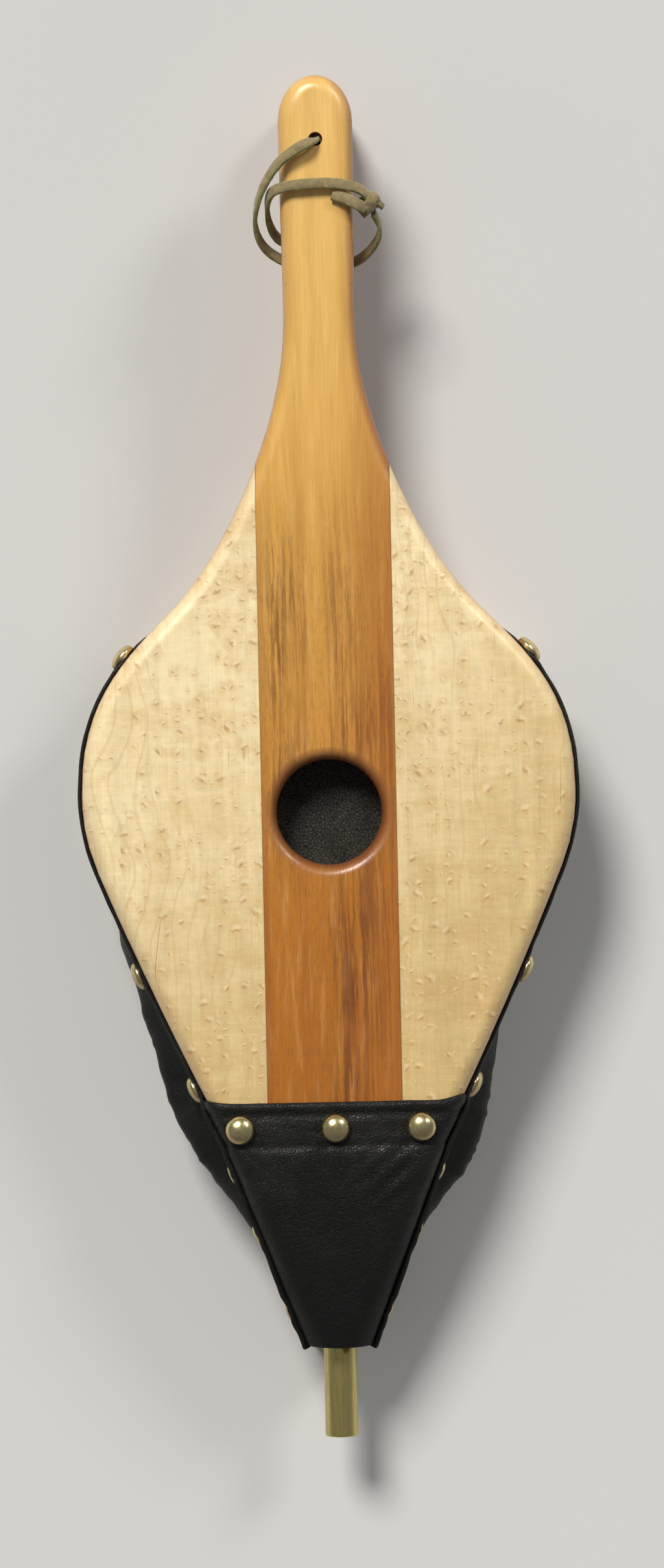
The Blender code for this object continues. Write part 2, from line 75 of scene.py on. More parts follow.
# Heights and lengths that the CAD model has.
BACK_INNER_Z = 19.0
FRONT_INNER_Z = 38.0
FRONT_Z = 57.0
STRIP_HALF = 25.4
EDGE_ROUND = 6.35
HINGE_Y, HINGE_HALF = -145.0, 40.3
NOSE_Y, NOSE_HALF = -223.3, 10.5
NOSE_TOP_Z, NOSE_ROUND = 44.0, 10.2
WIDEST_END_Y, WIDEST_END_HALF = -41.8, 87.8
TAPER_BOW = 1.2
SHOULDER_Y = 41.0
NECK = ((70.6, 45.0), (67.0, 47.9), (61.0, 51.0), (52.0, 53.8), (40.0, 56.0), (22.0, 57.8), (0.0, 58.4))
CAP_TOP_Y = -129.5
CAP_OUT = 2.0
GUSSET_OUT, GUSSET_THICK = 1.4, 1.2
EDGE_STEP = 2.2
SEAM_Y = -130.0
INLET_Y, INLET_R, INLET_ROUND = -20.0, 20.0, 4.7

# The lace's route, as the CAD model has it, with its two ends taken on into the knot.
LACE_ROUTE = (
    (19.6, 211.6, 56.0), (16.6, 214.4, 58.2), (10.6, 216.2, 59.6), (3.0, 216.9, 59.8),
    (-5.0, 216.6, 59.8), (-11.5, 215.9, 59.2), (-16.2, 214.6, 56.8), (-18.4, 211.8, 52.6),
    (-18.7, 207.4, 46.6), (-17.5, 202.6, 40.6), (-14.4, 198.8, 36.0), (-9.0, 197.6, 33.6),
    (-3.6, 200.0, 32.8), (-0.6, 206.8, 32.6), (0.2, 216.0, 32.4), (0.4, 224.6, 32.3),
    (0.2, 230.6, 33.6), (0.0, 233.7, 38.4), (0.0, 234.0, 47.5), (-0.2, 233.7, 56.0),
    (-2.6, 232.2, 60.6), (-8.2, 229.2, 60.9), (-14.0, 224.8, 59.4), (-18.9, 218.4, 56.6),
    (-22.3, 211.2, 52.6), (-23.5, 204.4, 47.6), (-22.1, 198.4, 42.0), (-18.2, 193.8, 36.8),
    (-11.0, 190.2, 34.2), (0.0, 188.2, 33.6), (9.0, 188.4, 34.2), (15.4, 190.2, 37.0),
    (20.2, 193.6, 41.2), (23.3, 197.8, 45.6), (23.7, 201.6, 48.4), (22.9, 203.6, 49.6),
    (21.4, 206.2, 52.0),
)
HANDLE_AXIS_Z = 47.5
LACE_WIDE = 3.9
LACE_THICK = 1.7
KNOT = np.array((19.9, 208.9, 54.0))


# ---- camera, light, floor
def aimed(obj, place, target):
    obj.location = place
    obj.rotation_euler = (Vector(target) - Vector(place)).to_track_quat("-Z", "Y").to_euler()
    bpy.context.scene.collection.objects.link(obj)


def camera():
    """Square above the front board, turned a little and a little below its middle, as in the photograph."""
    length = HIGH.y - LOW.y
    lens = bpy.data.cameras.new("camera")
    lens.sensor_width = 36.0
    away, seen, turn = 3.3 * length, 1.1415 * length, math.radians(-1.19)
    lens.lens = lens.sensor_width * away / seen
    lens.clip_start, lens.clip_end = 0.05, 20.0
    obj = bpy.data.objects.new("camera", lens)
    obj.location = (0.0025 * length, -0.0181 * length, FRONT_Z * MM + away)
    obj.rotation_euler = (0.0, 0.0, turn)
    bpy.context.scene.collection.objects.link(obj)
    bpy.context.scene.camera = obj


def soft_light(name, direction, spread, strength, tint):
    """A far light that looks spread degrees wide, so that the floor is lit evenly all round."""
    light = bpy.data.lights.new(name, "SUN")
    light.angle = math.radians(spread)
    light.energy = strength
    light.color = tint
    obj = bpy.data.objects.new(name, light)
    aimed(obj, Vector(direction).normalized() * 3.0, (0, 0, 0))


def lights():
    soft_light("key_light", (-0.34, 0.74, 0.86), 19.0, 3.28, (1.0, 0.97, 0.92))
    soft_light("fill_light", (0.62, 0.60, 0.52), 14.0, 1.00, (1.0, 0.97, 0.93))
    world = bpy.data.worlds.new("studio")
    world.use_nodes = True
    background = world.node_tree.nodes["Background"]
    background.inputs["Color"].default_value = (0.93, 0.96, 1.0, 1.0)
    background.inputs["Strength"].default_value = 0.21
    bpy.context.scene.world = world
    bpy.context.scene.view_settings.view_transform = "Standard"


def floor(finish):
    bm = bmesh.new()
    bmesh.ops.create_grid(bm, x_segments=2, y_segments=2, size=9.0)
    bm.transform(Matrix.Translation((0, 0, LOW.z - 0.1 * MM)))
    obj = from_bmesh("floor", bm, finish)


# ---- shader sums
class Value:
    """A node's output that adds and multiplies like a number."""

    def __init__(self, shade, socket):
        self.shade, self.socket = shade, socket

    def __add__(self, other):
        return self.shade.sum("ADD", self, other)

    def __sub__(self, other):
        return self.shade.sum("SUBTRACT", self, other)

    def __rsub__(self, other):
        return self.shade.sum("SUBTRACT", other, self)

    def __mul__(self, other):
        return self.shade.sum("MULTIPLY", self, other)

    def __abs__(self):
        return self.shade.sum("ABSOLUTE", self)


class Shade:
    """A material written as sums on node sockets. Places are in millimetres in the object's own space."""

    def __init__(self, name, **fixed):
        self.material = bpy.data.materials.new(name)
        self.material.use_nodes = True
        self.tree = self.material.node_tree
        self.shader = self.tree.nodes["Principled BSDF"]
        for key, value in fixed.items():
            self.shader.inputs[key.replace("_", " ")].default_value = value
        coords = self.node("TexCoord").outputs["Object"]
        self.place = self.vector("SCALE", coords, scale=1000.0)
        split = self.node("SeparateXYZ", {0: self.place})
        self.x, self.y, self.z = (Value(self, output) for output in split.outputs)

    def node(self, kind, values=None, **settings):
        made = self.tree.nodes.new("ShaderNode" + kind)
        for key, value in settings.items():
            setattr(made, key, value)
        for key, value in (values or {}).items():
            self.put(made.inputs[key], value)
        return made

    def put(self, socket, value):
        value = value.socket if isinstance(value, Value) else value
        if isinstance(value, bpy.types.NodeSocket):
            self.tree.links.new(value, socket)
        else:
            socket.default_value = (*value, 1.0) if socket.type == "RGBA" else value

    def vector(self, operation, a, b=(0.0, 0.0, 0.0), scale=1.0):
        made = self.node("VectorMath", {0: a}, operation=operation)
        if operation == "SCALE":
            self.put(made.inputs["Scale"], scale)
        else:
            self.put(made.inputs[1], b)
        if operation in ("LENGTH", "DISTANCE"):
            return Value(self, made.outputs["Value"])
        return made.outputs["Vector"]

    def sum(self, operation, a, b=0.0, c=0.0):
        return Value(self, self.node("Math", {0: a, 1: b, 2: c}, operation=operation).outputs[0])

    def smooth(self, value, low, high):
        """0 at low and 1 at high, with an even turn between. Low may be the larger."""
        values = {"Value": value, "From Min": low, "From Max": high}
        return Value(self, self.node("MapRange", values, interpolation_type="SMOOTHSTEP").outputs[0])

    def span(self, value, low, high, to_low, to_high):
        values = {"Value": value, "From Min": low, "From Max": high, "To Min": to_low, "To Max": to_high}
        return Value(self, self.node("MapRange", values).outputs[0])

    def spread(self, pattern, low, high):
        """A noise's usual values, 0.3 to 0.7, as low to high."""
        return self.span(pattern, 0.3, 0.7, low, high)

    def joined(self, x, y, z=0.0):
        return self.node("CombineXYZ", {0: x, 1: y, 2: z}).outputs[0]

    def mix(self, share, a, b, how="MIX"):
        """Colour a turned into colour b by a share."""
        made = self.node("Mix", {0: share, 6: a, 7: b}, data_type="RGBA", blend_type=how)
        return made.outputs[2]

    def lit(self, colour, light):
        return self.mix(1.0, colour, self.joined(light, light, light), "MULTIPLY")

    def noise(self, size, detail=2.0, rough=0.5, shift=0.0, place=None):
        """Noise from 0 to 1, whose features are about size = (x, y, z) millimetres."""
        stretched = self.vector("DIVIDE", place or self.place, size)
        moved = self.vector("ADD", stretched, (shift, 1.7 * shift, 0.6 * shift))
        values = {"Vector": moved, "Scale": 1.0, "Detail": detail, "Roughness": rough}
        return Value(self, self.node("TexNoise", values).outputs[0])

    def finish(self, colour, roughness, height):
        """The material with these looks, its surface raised by height millimetres."""
        bump = self.node("Bump", {"Height": height, "Distance": MM, "Strength": 1.0})
        self.put(self.shader.inputs["Base Color"], colour)
        self.put(self.shader.inputs["Roughness"], roughness)
        self.put(self.shader.inputs["Normal"], bump.outputs[0])
        return self.material


# ---- materials
def birdseyes(s, cell, size, chance, shift):
    """Birdseye figure as (pit, lip, swirl) shares; the lip is a painted highlight. In each cell an eye may
    sit.
    """
    at = s.vector("ADD", s.vector("DIVIDE", s.place, (*cell, 1.0)), (shift, 1.3 * shift, 0.0))
    made = s.node("TexVoronoi", {"Vector": at, "Scale": 1.0, "Randomness": 1.0}, voronoi_dimensions="2D")
    local = s.vector("SUBTRACT", at, made.outputs["Position"])
    local = s.vector("MULTIPLY", local, (*cell, 0.0))
    pick = s.node("SeparateColor", {0: made.outputs["Color"]})
    here = s.smooth(chance - pick.outputs[0], -0.05, 0.1)
    turned = s.node("VectorRotate", {"Vector": local, "Angle": s.span(pick.outputs[2], 0, 1, -1.0, 1.0)},
                    rotation_type="Z_AXIS")
    width = s.span(pick.outputs[1], 0, 1, size * 0.55, size * 1.45)
    unit = s.vector("DIVIDE", turned.outputs[0], s.joined(width, width, 1.0))
    tangle = s.node("TexNoise", {"Vector": s.place, "Scale": 0.75, "Detail": 2.0}).outputs[1]
    wobble = s.vector("SCALE", s.vector("SUBTRACT", tangle, (0.5, 0.5, 0.5)), scale=1.6)
    unit = s.vector("ADD", unit, wobble)
    pit_at = s.vector("MULTIPLY", s.vector("ADD", unit, (0.1, 0.35, 0.0)), (0.8, 1.9, 0.0))
    # The lip: a painted highlight, pale on the eye's upper side.
    highlight_at = s.vector("MULTIPLY", s.vector("SUBTRACT", unit, (0.2, 0.45, 0.0)), (0.8, 1.2, 0.0))
    swirl_at = s.vector("MULTIPLY", unit, (0.8, 0.5, 0.0))
    pit = here * s.smooth(s.vector("LENGTH", pit_at), 1.25, 0.15)
    lip = here * s.smooth(s.vector("LENGTH", highlight_at), 1.35, 0.25)
    swirl = here * s.smooth(s.vector("LENGTH", swirl_at), 2.8, 0.6)
    return pit, lip * (1.0 - pit), swirl


def glue_line(s):
    """1 on the line where a wing meets the centre strip."""
    off = abs(abs(s.x) - STRIP_HALF)
    return s.smooth(off, 0.28, 0.04)


def maple(name, face_z, shift):
    """Birdseye maple with an oiled satin surface. Its outer face is at face_z."""
    s = Shade(name, Coat_Weight=0.22, Coat_Roughness=0.30)
    across = abs(s.x)
    sway = s.noise((34.0, 62.0, 60.0), shift=shift)
    clouds = (s.noise((17.0, 40.0, 30.0), detail=3.0, rough=0.6, shift=shift + 3.0) * 0.5
              + s.noise((30.0, 9.0, 20.0), detail=3.0, rough=0.6, shift=shift + 6.0) * 0.5)
    ring = s.sum("FRACT", s.x * 0.17 + sway * 5.2)
    ring_line = s.smooth(abs(ring - 0.5), 0.13, 0.0)
    ring_line = ring_line * s.smooth(s.noise((30.0, 90.0, 30.0), shift=shift + 7.0), 0.42, 0.62)
    grain = s.noise((0.55, 24.0, 2.5), detail=4.0, rough=0.65, shift=shift)
    streak = s.noise((3.4, 75.0, 6.0), detail=3.0, rough=0.55, shift=shift + 1.0)
    ripple = s.noise((7.5, 1.9, 8.0), shift=shift + 2.0)
    fleck = s.noise((1.3, 2.6, 1.3), shift=shift + 4.0)
    split = abs(s.noise((11.0, 190.0, 20.0), detail=1.0, shift=shift + 5.0) - 0.5)
    cracked = s.smooth(s.noise((40.0, 46.0, 40.0), shift=shift + 9.0), 0.6, 0.68)
    crack = s.smooth(split, 0.005, 0.0) * cracked

    flock = s.smooth(s.noise((22.0, 34.0, 30.0), shift=shift + 13.0), 0.36, 0.62)
    near = s.span(across, 24.0, 92.0, 1.0, 0.4) * s.span(flock, 0.0, 1.0, 0.3, 1.0)
    big = birdseyes(s, (7.2, 6.4), 1.15, near, shift + 11.0)
    small = birdseyes(s, (4.1, 4.5), 0.62, near * 0.8, shift + 23.0)
    pit = s.sum("MAXIMUM", big[0], small[0] * 0.8)
    lip = s.sum("MAXIMUM", big[1], small[1] * 0.8)
    swirl = s.sum("MAXIMUM", big[2], small[2] * 0.5)

    # Painted light falloff: both tones lighter towards the handle and the left, darker towards the nozzle
    # and the right.
    lit = s.smooth(s.y - s.x * 0.6, -135.0, 55.0)
    pale = s.mix(lit, (0.625, 0.46, 0.21), (0.84, 0.7, 0.415))
    amber = s.mix(lit, (0.5, 0.32, 0.115), (0.7, 0.5, 0.225))
    tone = s.mix(s.smooth(clouds, 0.4, 0.68) * 0.62, pale, amber)
    tone = s.mix(ring_line * 0.36, tone, (0.56, 0.37, 0.16))
    tone = s.mix(swirl * 0.36, tone, (0.6, 0.385, 0.15))
    # Painted highlight: the pale lip on each eye's upper side.
    tone = s.mix(lip * 0.3, tone, (0.93, 0.82, 0.56))
    tone = s.mix(pit * 0.66, tone, (0.4, 0.21, 0.07))
    tone = s.mix(crack * 0.6, tone, (0.28, 0.15, 0.06))
    light = (s.spread(grain, 0.93, 1.06) + s.spread(streak, -0.055, 0.055)
             + (s.spread(ripple, -0.03, 0.03) + s.spread(fleck, -0.03, 0.03)))
    tone = s.lit(tone, light)
    depth = abs(s.z - face_z)
    tone = s.mix(s.smooth(depth, 0.3, 5.0) * 0.45, tone, (0.6, 0.36, 0.19))
    tone = s.mix(s.smooth(depth, 4.2, 6.4) * 0.6, tone, (0.36, 0.13, 0.06))
    tone = s.mix(glue_line(s) * 0.35, tone, (0.2, 0.1, 0.04))

    rough = s.spread(clouds, 0.36, 0.44) + pit * 0.2
    height = grain * 0.035 + ripple * 0.1 - pit * 0.02 - (crack * 0.12 + glue_line(s) * 0.15)
    return s.finish(tone, rough, height)


def strip_wood(name, face_z, shift):
    """The centre strip: golden at the handle, red-brown below the air hole, with dark streaks, painted shade
    and sheen.
    """
    s = Shade(name, Coat_Weight=0.25, Coat_Roughness=0.26)
    sway = s.noise((20.0, 120.0, 30.0), shift=shift)
    bent = s.joined(s.x + sway * 7.0, s.y, s.z)
    band = s.noise((6.0, 240.0, 12.0), detail=3.0, rough=0.6, shift=shift + 1.0, place=bent)
    grain = s.noise((0.5, 20.0, 1.6), detail=3.0, rough=0.6, shift=shift + 2.0, place=bent)
    pores = s.noise((0.34, 5.5, 0.8), detail=1.0, shift=shift + 3.0, place=bent)
    shimmer = s.noise((2.6, 30.0, 6.0), shift=shift + 4.0)
    broken = s.noise((9.0, 40.0, 9.0), shift=shift + 5.0)
    dark_at = s.noise((2.4, 150.0, 5.0), rough=0.5, shift=shift + 6.0, place=bent)
    dashes = (s.noise((0.95, 13.0, 2.5), detail=4.0, rough=0.7, shift=shift + 8.0, place=bent) * 0.5
              + s.noise((1.5, 52.0, 3.0), detail=3.0, rough=0.6, shift=shift + 9.0, place=bent) * 0.5)

    # The ramp darkens towards the nozzle: partly the wood's own colour, partly painted light falloff.
    tone = s.node("ValToRGB", {0: s.span(s.y, -150.0, 235.0, 0.0, 1.0)})
    ramp = tone.color_ramp
    ramp.elements[0].position, ramp.elements[0].color = 0.0, (0.36, 0.119, 0.009, 1.0)
    ramp.elements[1].position, ramp.elements[1].color = 1.0, (0.79, 0.495, 0.145, 1.0)
    for at, colour in ((0.24, (0.43, 0.155, 0.014, 1.0)), (0.42, (0.56, 0.255, 0.040, 1.0)),
                       (0.62, (0.64, 0.335, 0.066, 1.0)), (0.76, (0.725, 0.425, 0.105, 1.0))):
        ramp.elements.new(at).color = colour
    tone = tone.outputs[0]
    lower = s.smooth(s.y, 118.0, 62.0)
    tone = s.mix(s.smooth(band, 0.4, 0.66) * s.span(lower, 0.0, 1.0, 0.14, 0.42), tone,
                 (0.3, 0.088, 0.014))
    # Painted sheen: pale streaks where the wood's figure catches the light.
    tone = s.mix(s.smooth(shimmer, 0.5, 0.76) * 0.16, tone, (0.9, 0.58, 0.22))

    right = s.smooth(s.x, -6.0, 9.0) * s.span(s.smooth(s.y, 45.0, 5.0), 0.0, 1.0, 0.45, 1.0)
    right = right * lower
    edge = s.smooth(abs(s.x), 21.5, 24.5) * lower
    left = s.smooth(s.x, -2.0, -12.0) * s.smooth(s.x, -25.0, -18.0) * s.smooth(s.y, -60.0, -5.0)
    left = left * s.smooth(s.y, 105.0, 55.0)
    streaked = (right + left * 0.75) * s.span(broken, 0.32, 0.62, 0.15, 1.0)
    dash = s.smooth(dashes * 0.75 + dark_at * 0.32, 0.495, 0.575)
    tone = s.mix(streaked * s.smooth(dark_at, 0.4, 0.62) * 0.55, tone, (0.2, 0.055, 0.01))
    tone = s.mix(streaked * dash * 0.9, tone, (0.085, 0.024, 0.006))
    tone = s.mix(edge * 0.3, tone, (0.24, 0.075, 0.02))
    pore = s.smooth(pores + broken * 0.12, 0.64, 0.74)
    pore = pore * s.span(lower, 0.0, 1.0, 0.12, 0.6)
    tone = s.mix(pore * 0.36, tone, (0.2, 0.065, 0.018))
    # Painted shade: the strip's right side, away from the key light, darker.
    right_side_shade = s.smooth(s.x, 3.0, 20.0) * s.span(s.y, 245.0, 70.0, 0.34, 0.62)
    tone = s.mix(right_side_shade, tone, (0.38, 0.125, 0.015))
    tone = s.lit(tone, s.span(grain, 0.28, 0.72, 0.90, 1.09))
    depth = abs(s.z - face_z)
    # The rounded edge darker: partly the end grain's own colour, partly painted shade that grows towards the
    # right side.
    shaded = s.span(s.smooth(s.x, -12.0, 12.0), 0.0, 1.0, 0.30, 0.80)
    rim = s.smooth(depth, 0.0, 3.6) * (shaded * s.span(s.y, 240.0, 110.0, 0.72, 1.0))
    tone = s.mix(rim, tone, (0.29, 0.082, 0.018))
    tone = s.mix(s.smooth(depth, 4.0, 6.2) * 0.5, tone, (0.3, 0.055, 0.02))
    from_inlet = s.vector("DISTANCE", s.joined(s.x, s.y), (0.0, INLET_Y, 0.0))
    # Painted shade: two darker rings on the air hole's rounded edge, where it goes down into the hole.
    tone = s.mix(s.smooth(from_inlet, INLET_R + 5.0, INLET_R + 3.9) * 0.36, tone, (0.27, 0.1, 0.035))
    tone = s.mix(s.smooth(from_inlet, INLET_R + 3.5, INLET_R + 0.5) * 0.55, tone, (0.12, 0.036, 0.012))
    tone = s.mix(glue_line(s) * 0.35, tone, (0.1, 0.04, 0.015))

    rough = s.spread(shimmer, 0.3, 0.38) + pore * 0.25
    height = grain * 0.04 + shimmer * 0.05 - (pore * 0.1 + glue_line(s) * 0.15)
    return s.finish(tone, rough, height)


def plain_wood(name):
    """The plain wood of the nozzle block and the valve's batten, sawn and unfinished."""
    s = Shade(name)
    bands = s.noise((4.0, 90.0, 3.2), detail=3.0, rough=0.6, shift=31.0)
    grain = s.noise((0.5, 9.0, 0.5), detail=3.0, shift=33.0)
    tone = s.mix(s.smooth(bands, 0.36, 0.64), (0.58, 0.38, 0.18), (0.4, 0.225, 0.09))
    tone = s.lit(tone, s.spread(grain, 0.86, 1.10))
    return s.finish(tone, s.spread(grain, 0.55, 0.7), grain * 0.08)


def leather(name, pebble, grain_high, crease_high, grey=1.0):
    """Black garment leather: pebble grain, fine creases, greyer where it is rubbed."""
    s = Shade(name, Specular_IOR_Level=0.25, Coat_Weight=0.04, Coat_Roughness=0.30)
    wander = s.node("TexNoise", {"Vector": s.place, "Scale": 0.5, "Detail": 2.0}).outputs[1]
    wander = s.vector("SCALE", wander, scale=1.6)
    bent = s.vector("ADD", s.place, wander)
    values = {"Vector": bent, "Scale": 1.0 / pebble, "Randomness": 1.0}
    cell = s.node("TexVoronoi", values, feature="F1").outputs["Distance"]
    edge = s.node("TexVoronoi", values, feature="DISTANCE_TO_EDGE").outputs["Distance"]
    dome = 1.0 - s.sum("POWER", cell, 2.0)
    groove = s.smooth(edge, 0.0, 0.16)
    crease = s.noise((3.2, 1.5, 3.2), detail=3.0, rough=0.6, shift=41.0)
    wide = s.noise((13.0, 13.0, 13.0), shift=43.0)
    rub = s.smooth(s.noise((19.0, 26.0, 19.0), detail=3.0, rough=0.6, shift=47.0), 0.45, 0.72)
    tone = s.mix(groove * s.span(rub, 0.0, 1.0, 0.35, 1.0), (0.003, 0.003, 0.0026),
                 (0.0115 * grey, 0.0112 * grey, 0.0086 * grey))
    tone = s.mix(rub * 0.35, tone, (0.014, 0.0135, 0.0095))
    # Painted light falloff: the leather darker towards the nozzle.
    tone = s.mix(s.smooth(s.y, -145.0, -200.0) * 0.8, tone, (0.0012, 0.0012, 0.001))
    rough = s.span(groove, 0.0, 1.0, 0.62, 0.37) + s.spread(wide, -0.05, 0.05)
    rough = rough + s.smooth(s.y, -150.0, -205.0) * 0.22
    height = (dome * 0.6 + groove * 0.4) * grain_high
    height = height + (crease * crease_high + wide * 0.25)
    return s.finish(tone, rough, height)


def bright_brass():
    """Polished tack heads, a little scratched, browner in spots, with painted shade on the half that faces
    the nozzle.
    """
    s = Shade("bright_brass", Metallic=1.0)
    cloud = s.noise((3.0, 3.0, 3.0), detail=3.0, shift=51.0)
    scratch = s.noise((0.25, 2.4, 0.7), detail=3.0, rough=0.6, shift=53.0)
    spot = s.smooth(s.noise((0.9, 0.9, 0.9), shift=57.0), 0.66, 0.76)
    tone = s.mix(s.smooth(cloud, 0.4, 0.7), (0.8, 0.68, 0.34), (0.66, 0.5, 0.27))
    tone = s.mix(spot * 0.5, tone, (0.32, 0.2, 0.1))
    # Painted shade: the half of each head that faces the nozzle made darker.
    facing = s.node("SeparateXYZ", {0: s.node("TexCoord").outputs["Normal"]}).outputs[1]
    painted_shade_below = s.smooth(Value(s, facing) + cloud * 0.3, 0.3, -0.45)
    tone = s.mix(painted_shade_below * 0.62, tone, (0.27, 0.195, 0.1))
    rough = s.spread(scratch, 0.18, 0.3) + (spot + painted_shade_below) * 0.15
    return s.finish(tone, rough, scratch * 0.006 + cloud * 0.12)


def aged_brass():
    """The unpolished tube: dull, with streaks along it and a reddish stain beside the leather."""
    s = Shade("aged_brass", Metallic=1.0)
    streak = s.noise((0.8, 22.0, 0.8), detail=4.0, rough=0.65, shift=61.0)
    cloud = s.noise((4.0, 9.0, 4.0), detail=3.0, shift=63.0)
    speck = s.smooth(s.noise((0.5, 0.9, 0.5), shift=67.0), 0.62, 0.74)
    tone = s.mix(s.smooth(streak, 0.4, 0.68), (0.7, 0.585, 0.225), (0.5, 0.395, 0.14))
    tone = s.mix(s.smooth(cloud, 0.45, 0.7) * 0.4, tone, (0.5, 0.46, 0.24))
    tone = s.mix(speck * 0.5, tone, (0.15, 0.1, 0.05))
    off = s.vector("MULTIPLY", s.vector("SUBTRACT", s.place, (2.2, NOSE_Y - 1.8, 34.5)), (1.0, 0.8, 0.3))
    stain = s.smooth(s.vector("LENGTH", off) + streak * 1.5, 2.9, 1.5)
    tone = s.mix(stain * 0.8, tone, (0.19, 0.045, 0.015))
    rough = s.spread(streak, 0.3, 0.42) + (speck + stain) * 0.2
    return s.finish(tone, rough, streak * 0.03 + speck * -0.02)


def suede(name, colour, pale):
    """Cut suede: a short nap, lighter where it is brushed up."""
    s = Shade(name, Sheen_Weight=0.35, Sheen_Roughness=0.5)
    nap = s.noise((0.35, 0.35, 0.35), detail=3.0, rough=0.7, shift=71.0)
    patch = s.noise((2.2, 2.2, 2.2), detail=3.0, rough=0.6, shift=73.0)
    stain = s.smooth(s.noise((5.0, 5.0, 5.0), shift=77.0), 0.5, 0.75)
    tone = s.mix(s.smooth(patch, 0.35, 0.65), colour, pale)
    tone = s.mix(stain * 0.35, tone, (0.115, 0.075, 0.032))
    tone = s.lit(tone, s.spread(nap, 0.80, 1.18))
    return s.finish(tone, s.spread(nap, 0.8, 0.95), nap * 0.1 + patch * 0.12)


def floor_finish():
    s = Shade("floor")
    cloud = s.noise((260.0, 260.0, 260.0), shift=81.0)
    tone = s.mix(cloud, (0.56, 0.555, 0.545), (0.6, 0.595, 0.585))
    fine = s.noise((1.6, 1.6, 1.6), detail=3.0, shift=83.0)
    return s.finish(tone, s.spread(fine, 0.72, 0.82), fine * 0.02)


# ---- mesh helpers
def mesh_of(name, points, faces):
    mesh = bpy.data.meshes.new(name)
    mesh.from_pydata([tuple(p * MM) for p in points], [], faces)
    return mesh


def from_mesh(name, mesh, finishes):
    obj = bpy.data.objects.new(name, mesh)
    bpy.context.scene.collection.objects.link(obj)
    for finish in finishes:
        mesh.materials.append(finish)
    return obj


def from_bmesh(name, bm, *finishes):
    """An object from a bmesh in metres, whose faces are smooth up to 50 degrees apart."""
    bmesh.ops.recalc_face_normals(bm, faces=bm.faces)
    mesh = bpy.data.meshes.new(name)
    bm.to_mesh(mesh)
    bm.free()
    mesh.shade_smooth()
    mesh.set_sharp_from_angle(angle=math.radians(50))
    return from_mesh(name, mesh, finishes)


def stands_for(obj, body, slot, *nodes):
    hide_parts(*nodes)
    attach(obj, body)
    return obj


def unit(rows):
    return rows / np.maximum(np.linalg.norm(rows, axis=-1, keepdims=True), 1e-9)


def grid_normals(grid):
    return unit(np.cross(np.gradient(grid, axis=0), np.gradient(grid, axis=1)))


def shell(outer, thickness):
    """A closed skin under a grid of points, with half-round edges, as (points, faces, row of each point).

    Its outer side faces the way that rows turned into columns do.
    """
    rows, columns = outer.shape[:2]
    normal = grid_normals(outer)
    thickness = np.broadcast_to(thickness, (rows, columns))
    inner = outer - normal * thickness[..., None]
    points = [*outer.reshape(-1, 3), *inner.reshape(-1, 3)]
    row_of = [i for _ in range(2) for i in range(rows) for _ in range(columns)]
    under = rows * columns
    faces = []
    for i in range(rows - 1):
        for j in range(columns - 1):
            a, b, c, d = (i * columns + j, i * columns + j + 1, (i + 1) * columns + j + 1,
                          (i + 1) * columns + j)
            faces.append((a, d, c, b))
            faces.append((under + a, under + b, under + c, under + d))
    around = [(0, j) for j in range(columns)] + [(i, columns - 1) for i in range(1, rows)]
    around += [(rows - 1, j) for j in range(columns - 2, -1, -1)] + [(i, 0) for i in range(rows - 2, 0, -1)]
    rim = []
    for i, j in around:
        near = outer[min(max(i, 1), rows - 2), min(max(j, 1), columns - 2)]
        outward = outer[i, j] - near
        outward -= normal[i, j] * (outward @ normal[i, j])
        outward = unit(outward)
        half = thickness[i, j] / 2
        middle = (outer[i, j] + inner[i, j]) / 2
        chain = [i * columns + j]
        for a in (math.pi / 4, math.pi / 2, 3 * math.pi / 4):
            chain.append(len(points))
            points.append(middle + (normal[i, j] * math.cos(a) + outward * math.sin(a)) * half)
            row_of.append(i)
        chain.append(under + i * columns + j)
        rim.append(chain)
    for a, b in zip(rim, rim[1:] + rim[:1]):
        faces += [(a[k], b[k], b[k + 1], a[k + 1]) for k in range(4)]
    return np.array(points), faces, row_of


def skin(name, outer, thickness, finish):
    points, faces, _ = shell(outer, thickness)
    mesh = mesh_of(name, points, faces)
    bm = bmesh.new()
    bm.from_mesh(mesh)
    bpy.data.meshes.remove(mesh)
    return from_bmesh(name, bm, finish)


def turned(profile, sides, turn):
    """A bmesh in metres, turned about Z from (radius, z) pairs in millimetres. A radius of 0 is a point."""
    bm = bmesh.new()
    rows = []
    for radius, z in profile:
        angles = [math.tau * i / sides for i in range(sides if radius else 1)]
        row = [Vector((radius * math.cos(a), radius * math.sin(a), z)) for a in angles]
        rows.append([bm.verts.new((turn @ p) * MM) for p in row])
    for low, high in zip(rows, rows[1:]):
        for i in range(sides):
            j = (i + 1) % sides
            around = (low[i % len(low)], low[j % len(low)], high[j % len(high)], high[i % len(high)])
            bm.faces.new(list(dict.fromkeys(around)))
    return bm


def hump(away, width):
    """1 where away is 0, and less on both sides: a bell."""
    return math.exp(-((away / width) ** 2))


def wave(x, y, z, shift=0.0):
    """Smooth noise, from about -1 to 1."""
    return noise.noise(Vector((x + 3.1 * shift, y - 1.7 * shift, z + 0.9 * shift)))


# ---- wood
def level(verts):
    heights = [v.co.z for v in verts]
    return max(heights) - min(heights) < 0.001 * MM


def welded(node):
    bm = bmesh.new()
    bm.from_mesh(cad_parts[node].data)
    bmesh.ops.remove_doubles(bm, verts=bm.verts, dist=1e-6)
    flat = [e for e in bm.edges if level([v for f in e.link_faces for v in f.verts])]
    bmesh.ops.dissolve_limit(bm, angle_limit=math.pi, verts=[], edges=flat)
    slanted = [e for e in bm.edges if not level([v for f in e.link_faces for v in f.verts])]
    bmesh.ops.dissolve_limit(bm, angle_limit=0.0004, verts=[], edges=slanted)
    return bm


def on_glue_line(vert):
    return abs(abs(vert.co.x) - STRIP_HALF * MM) < 0.3 * MM


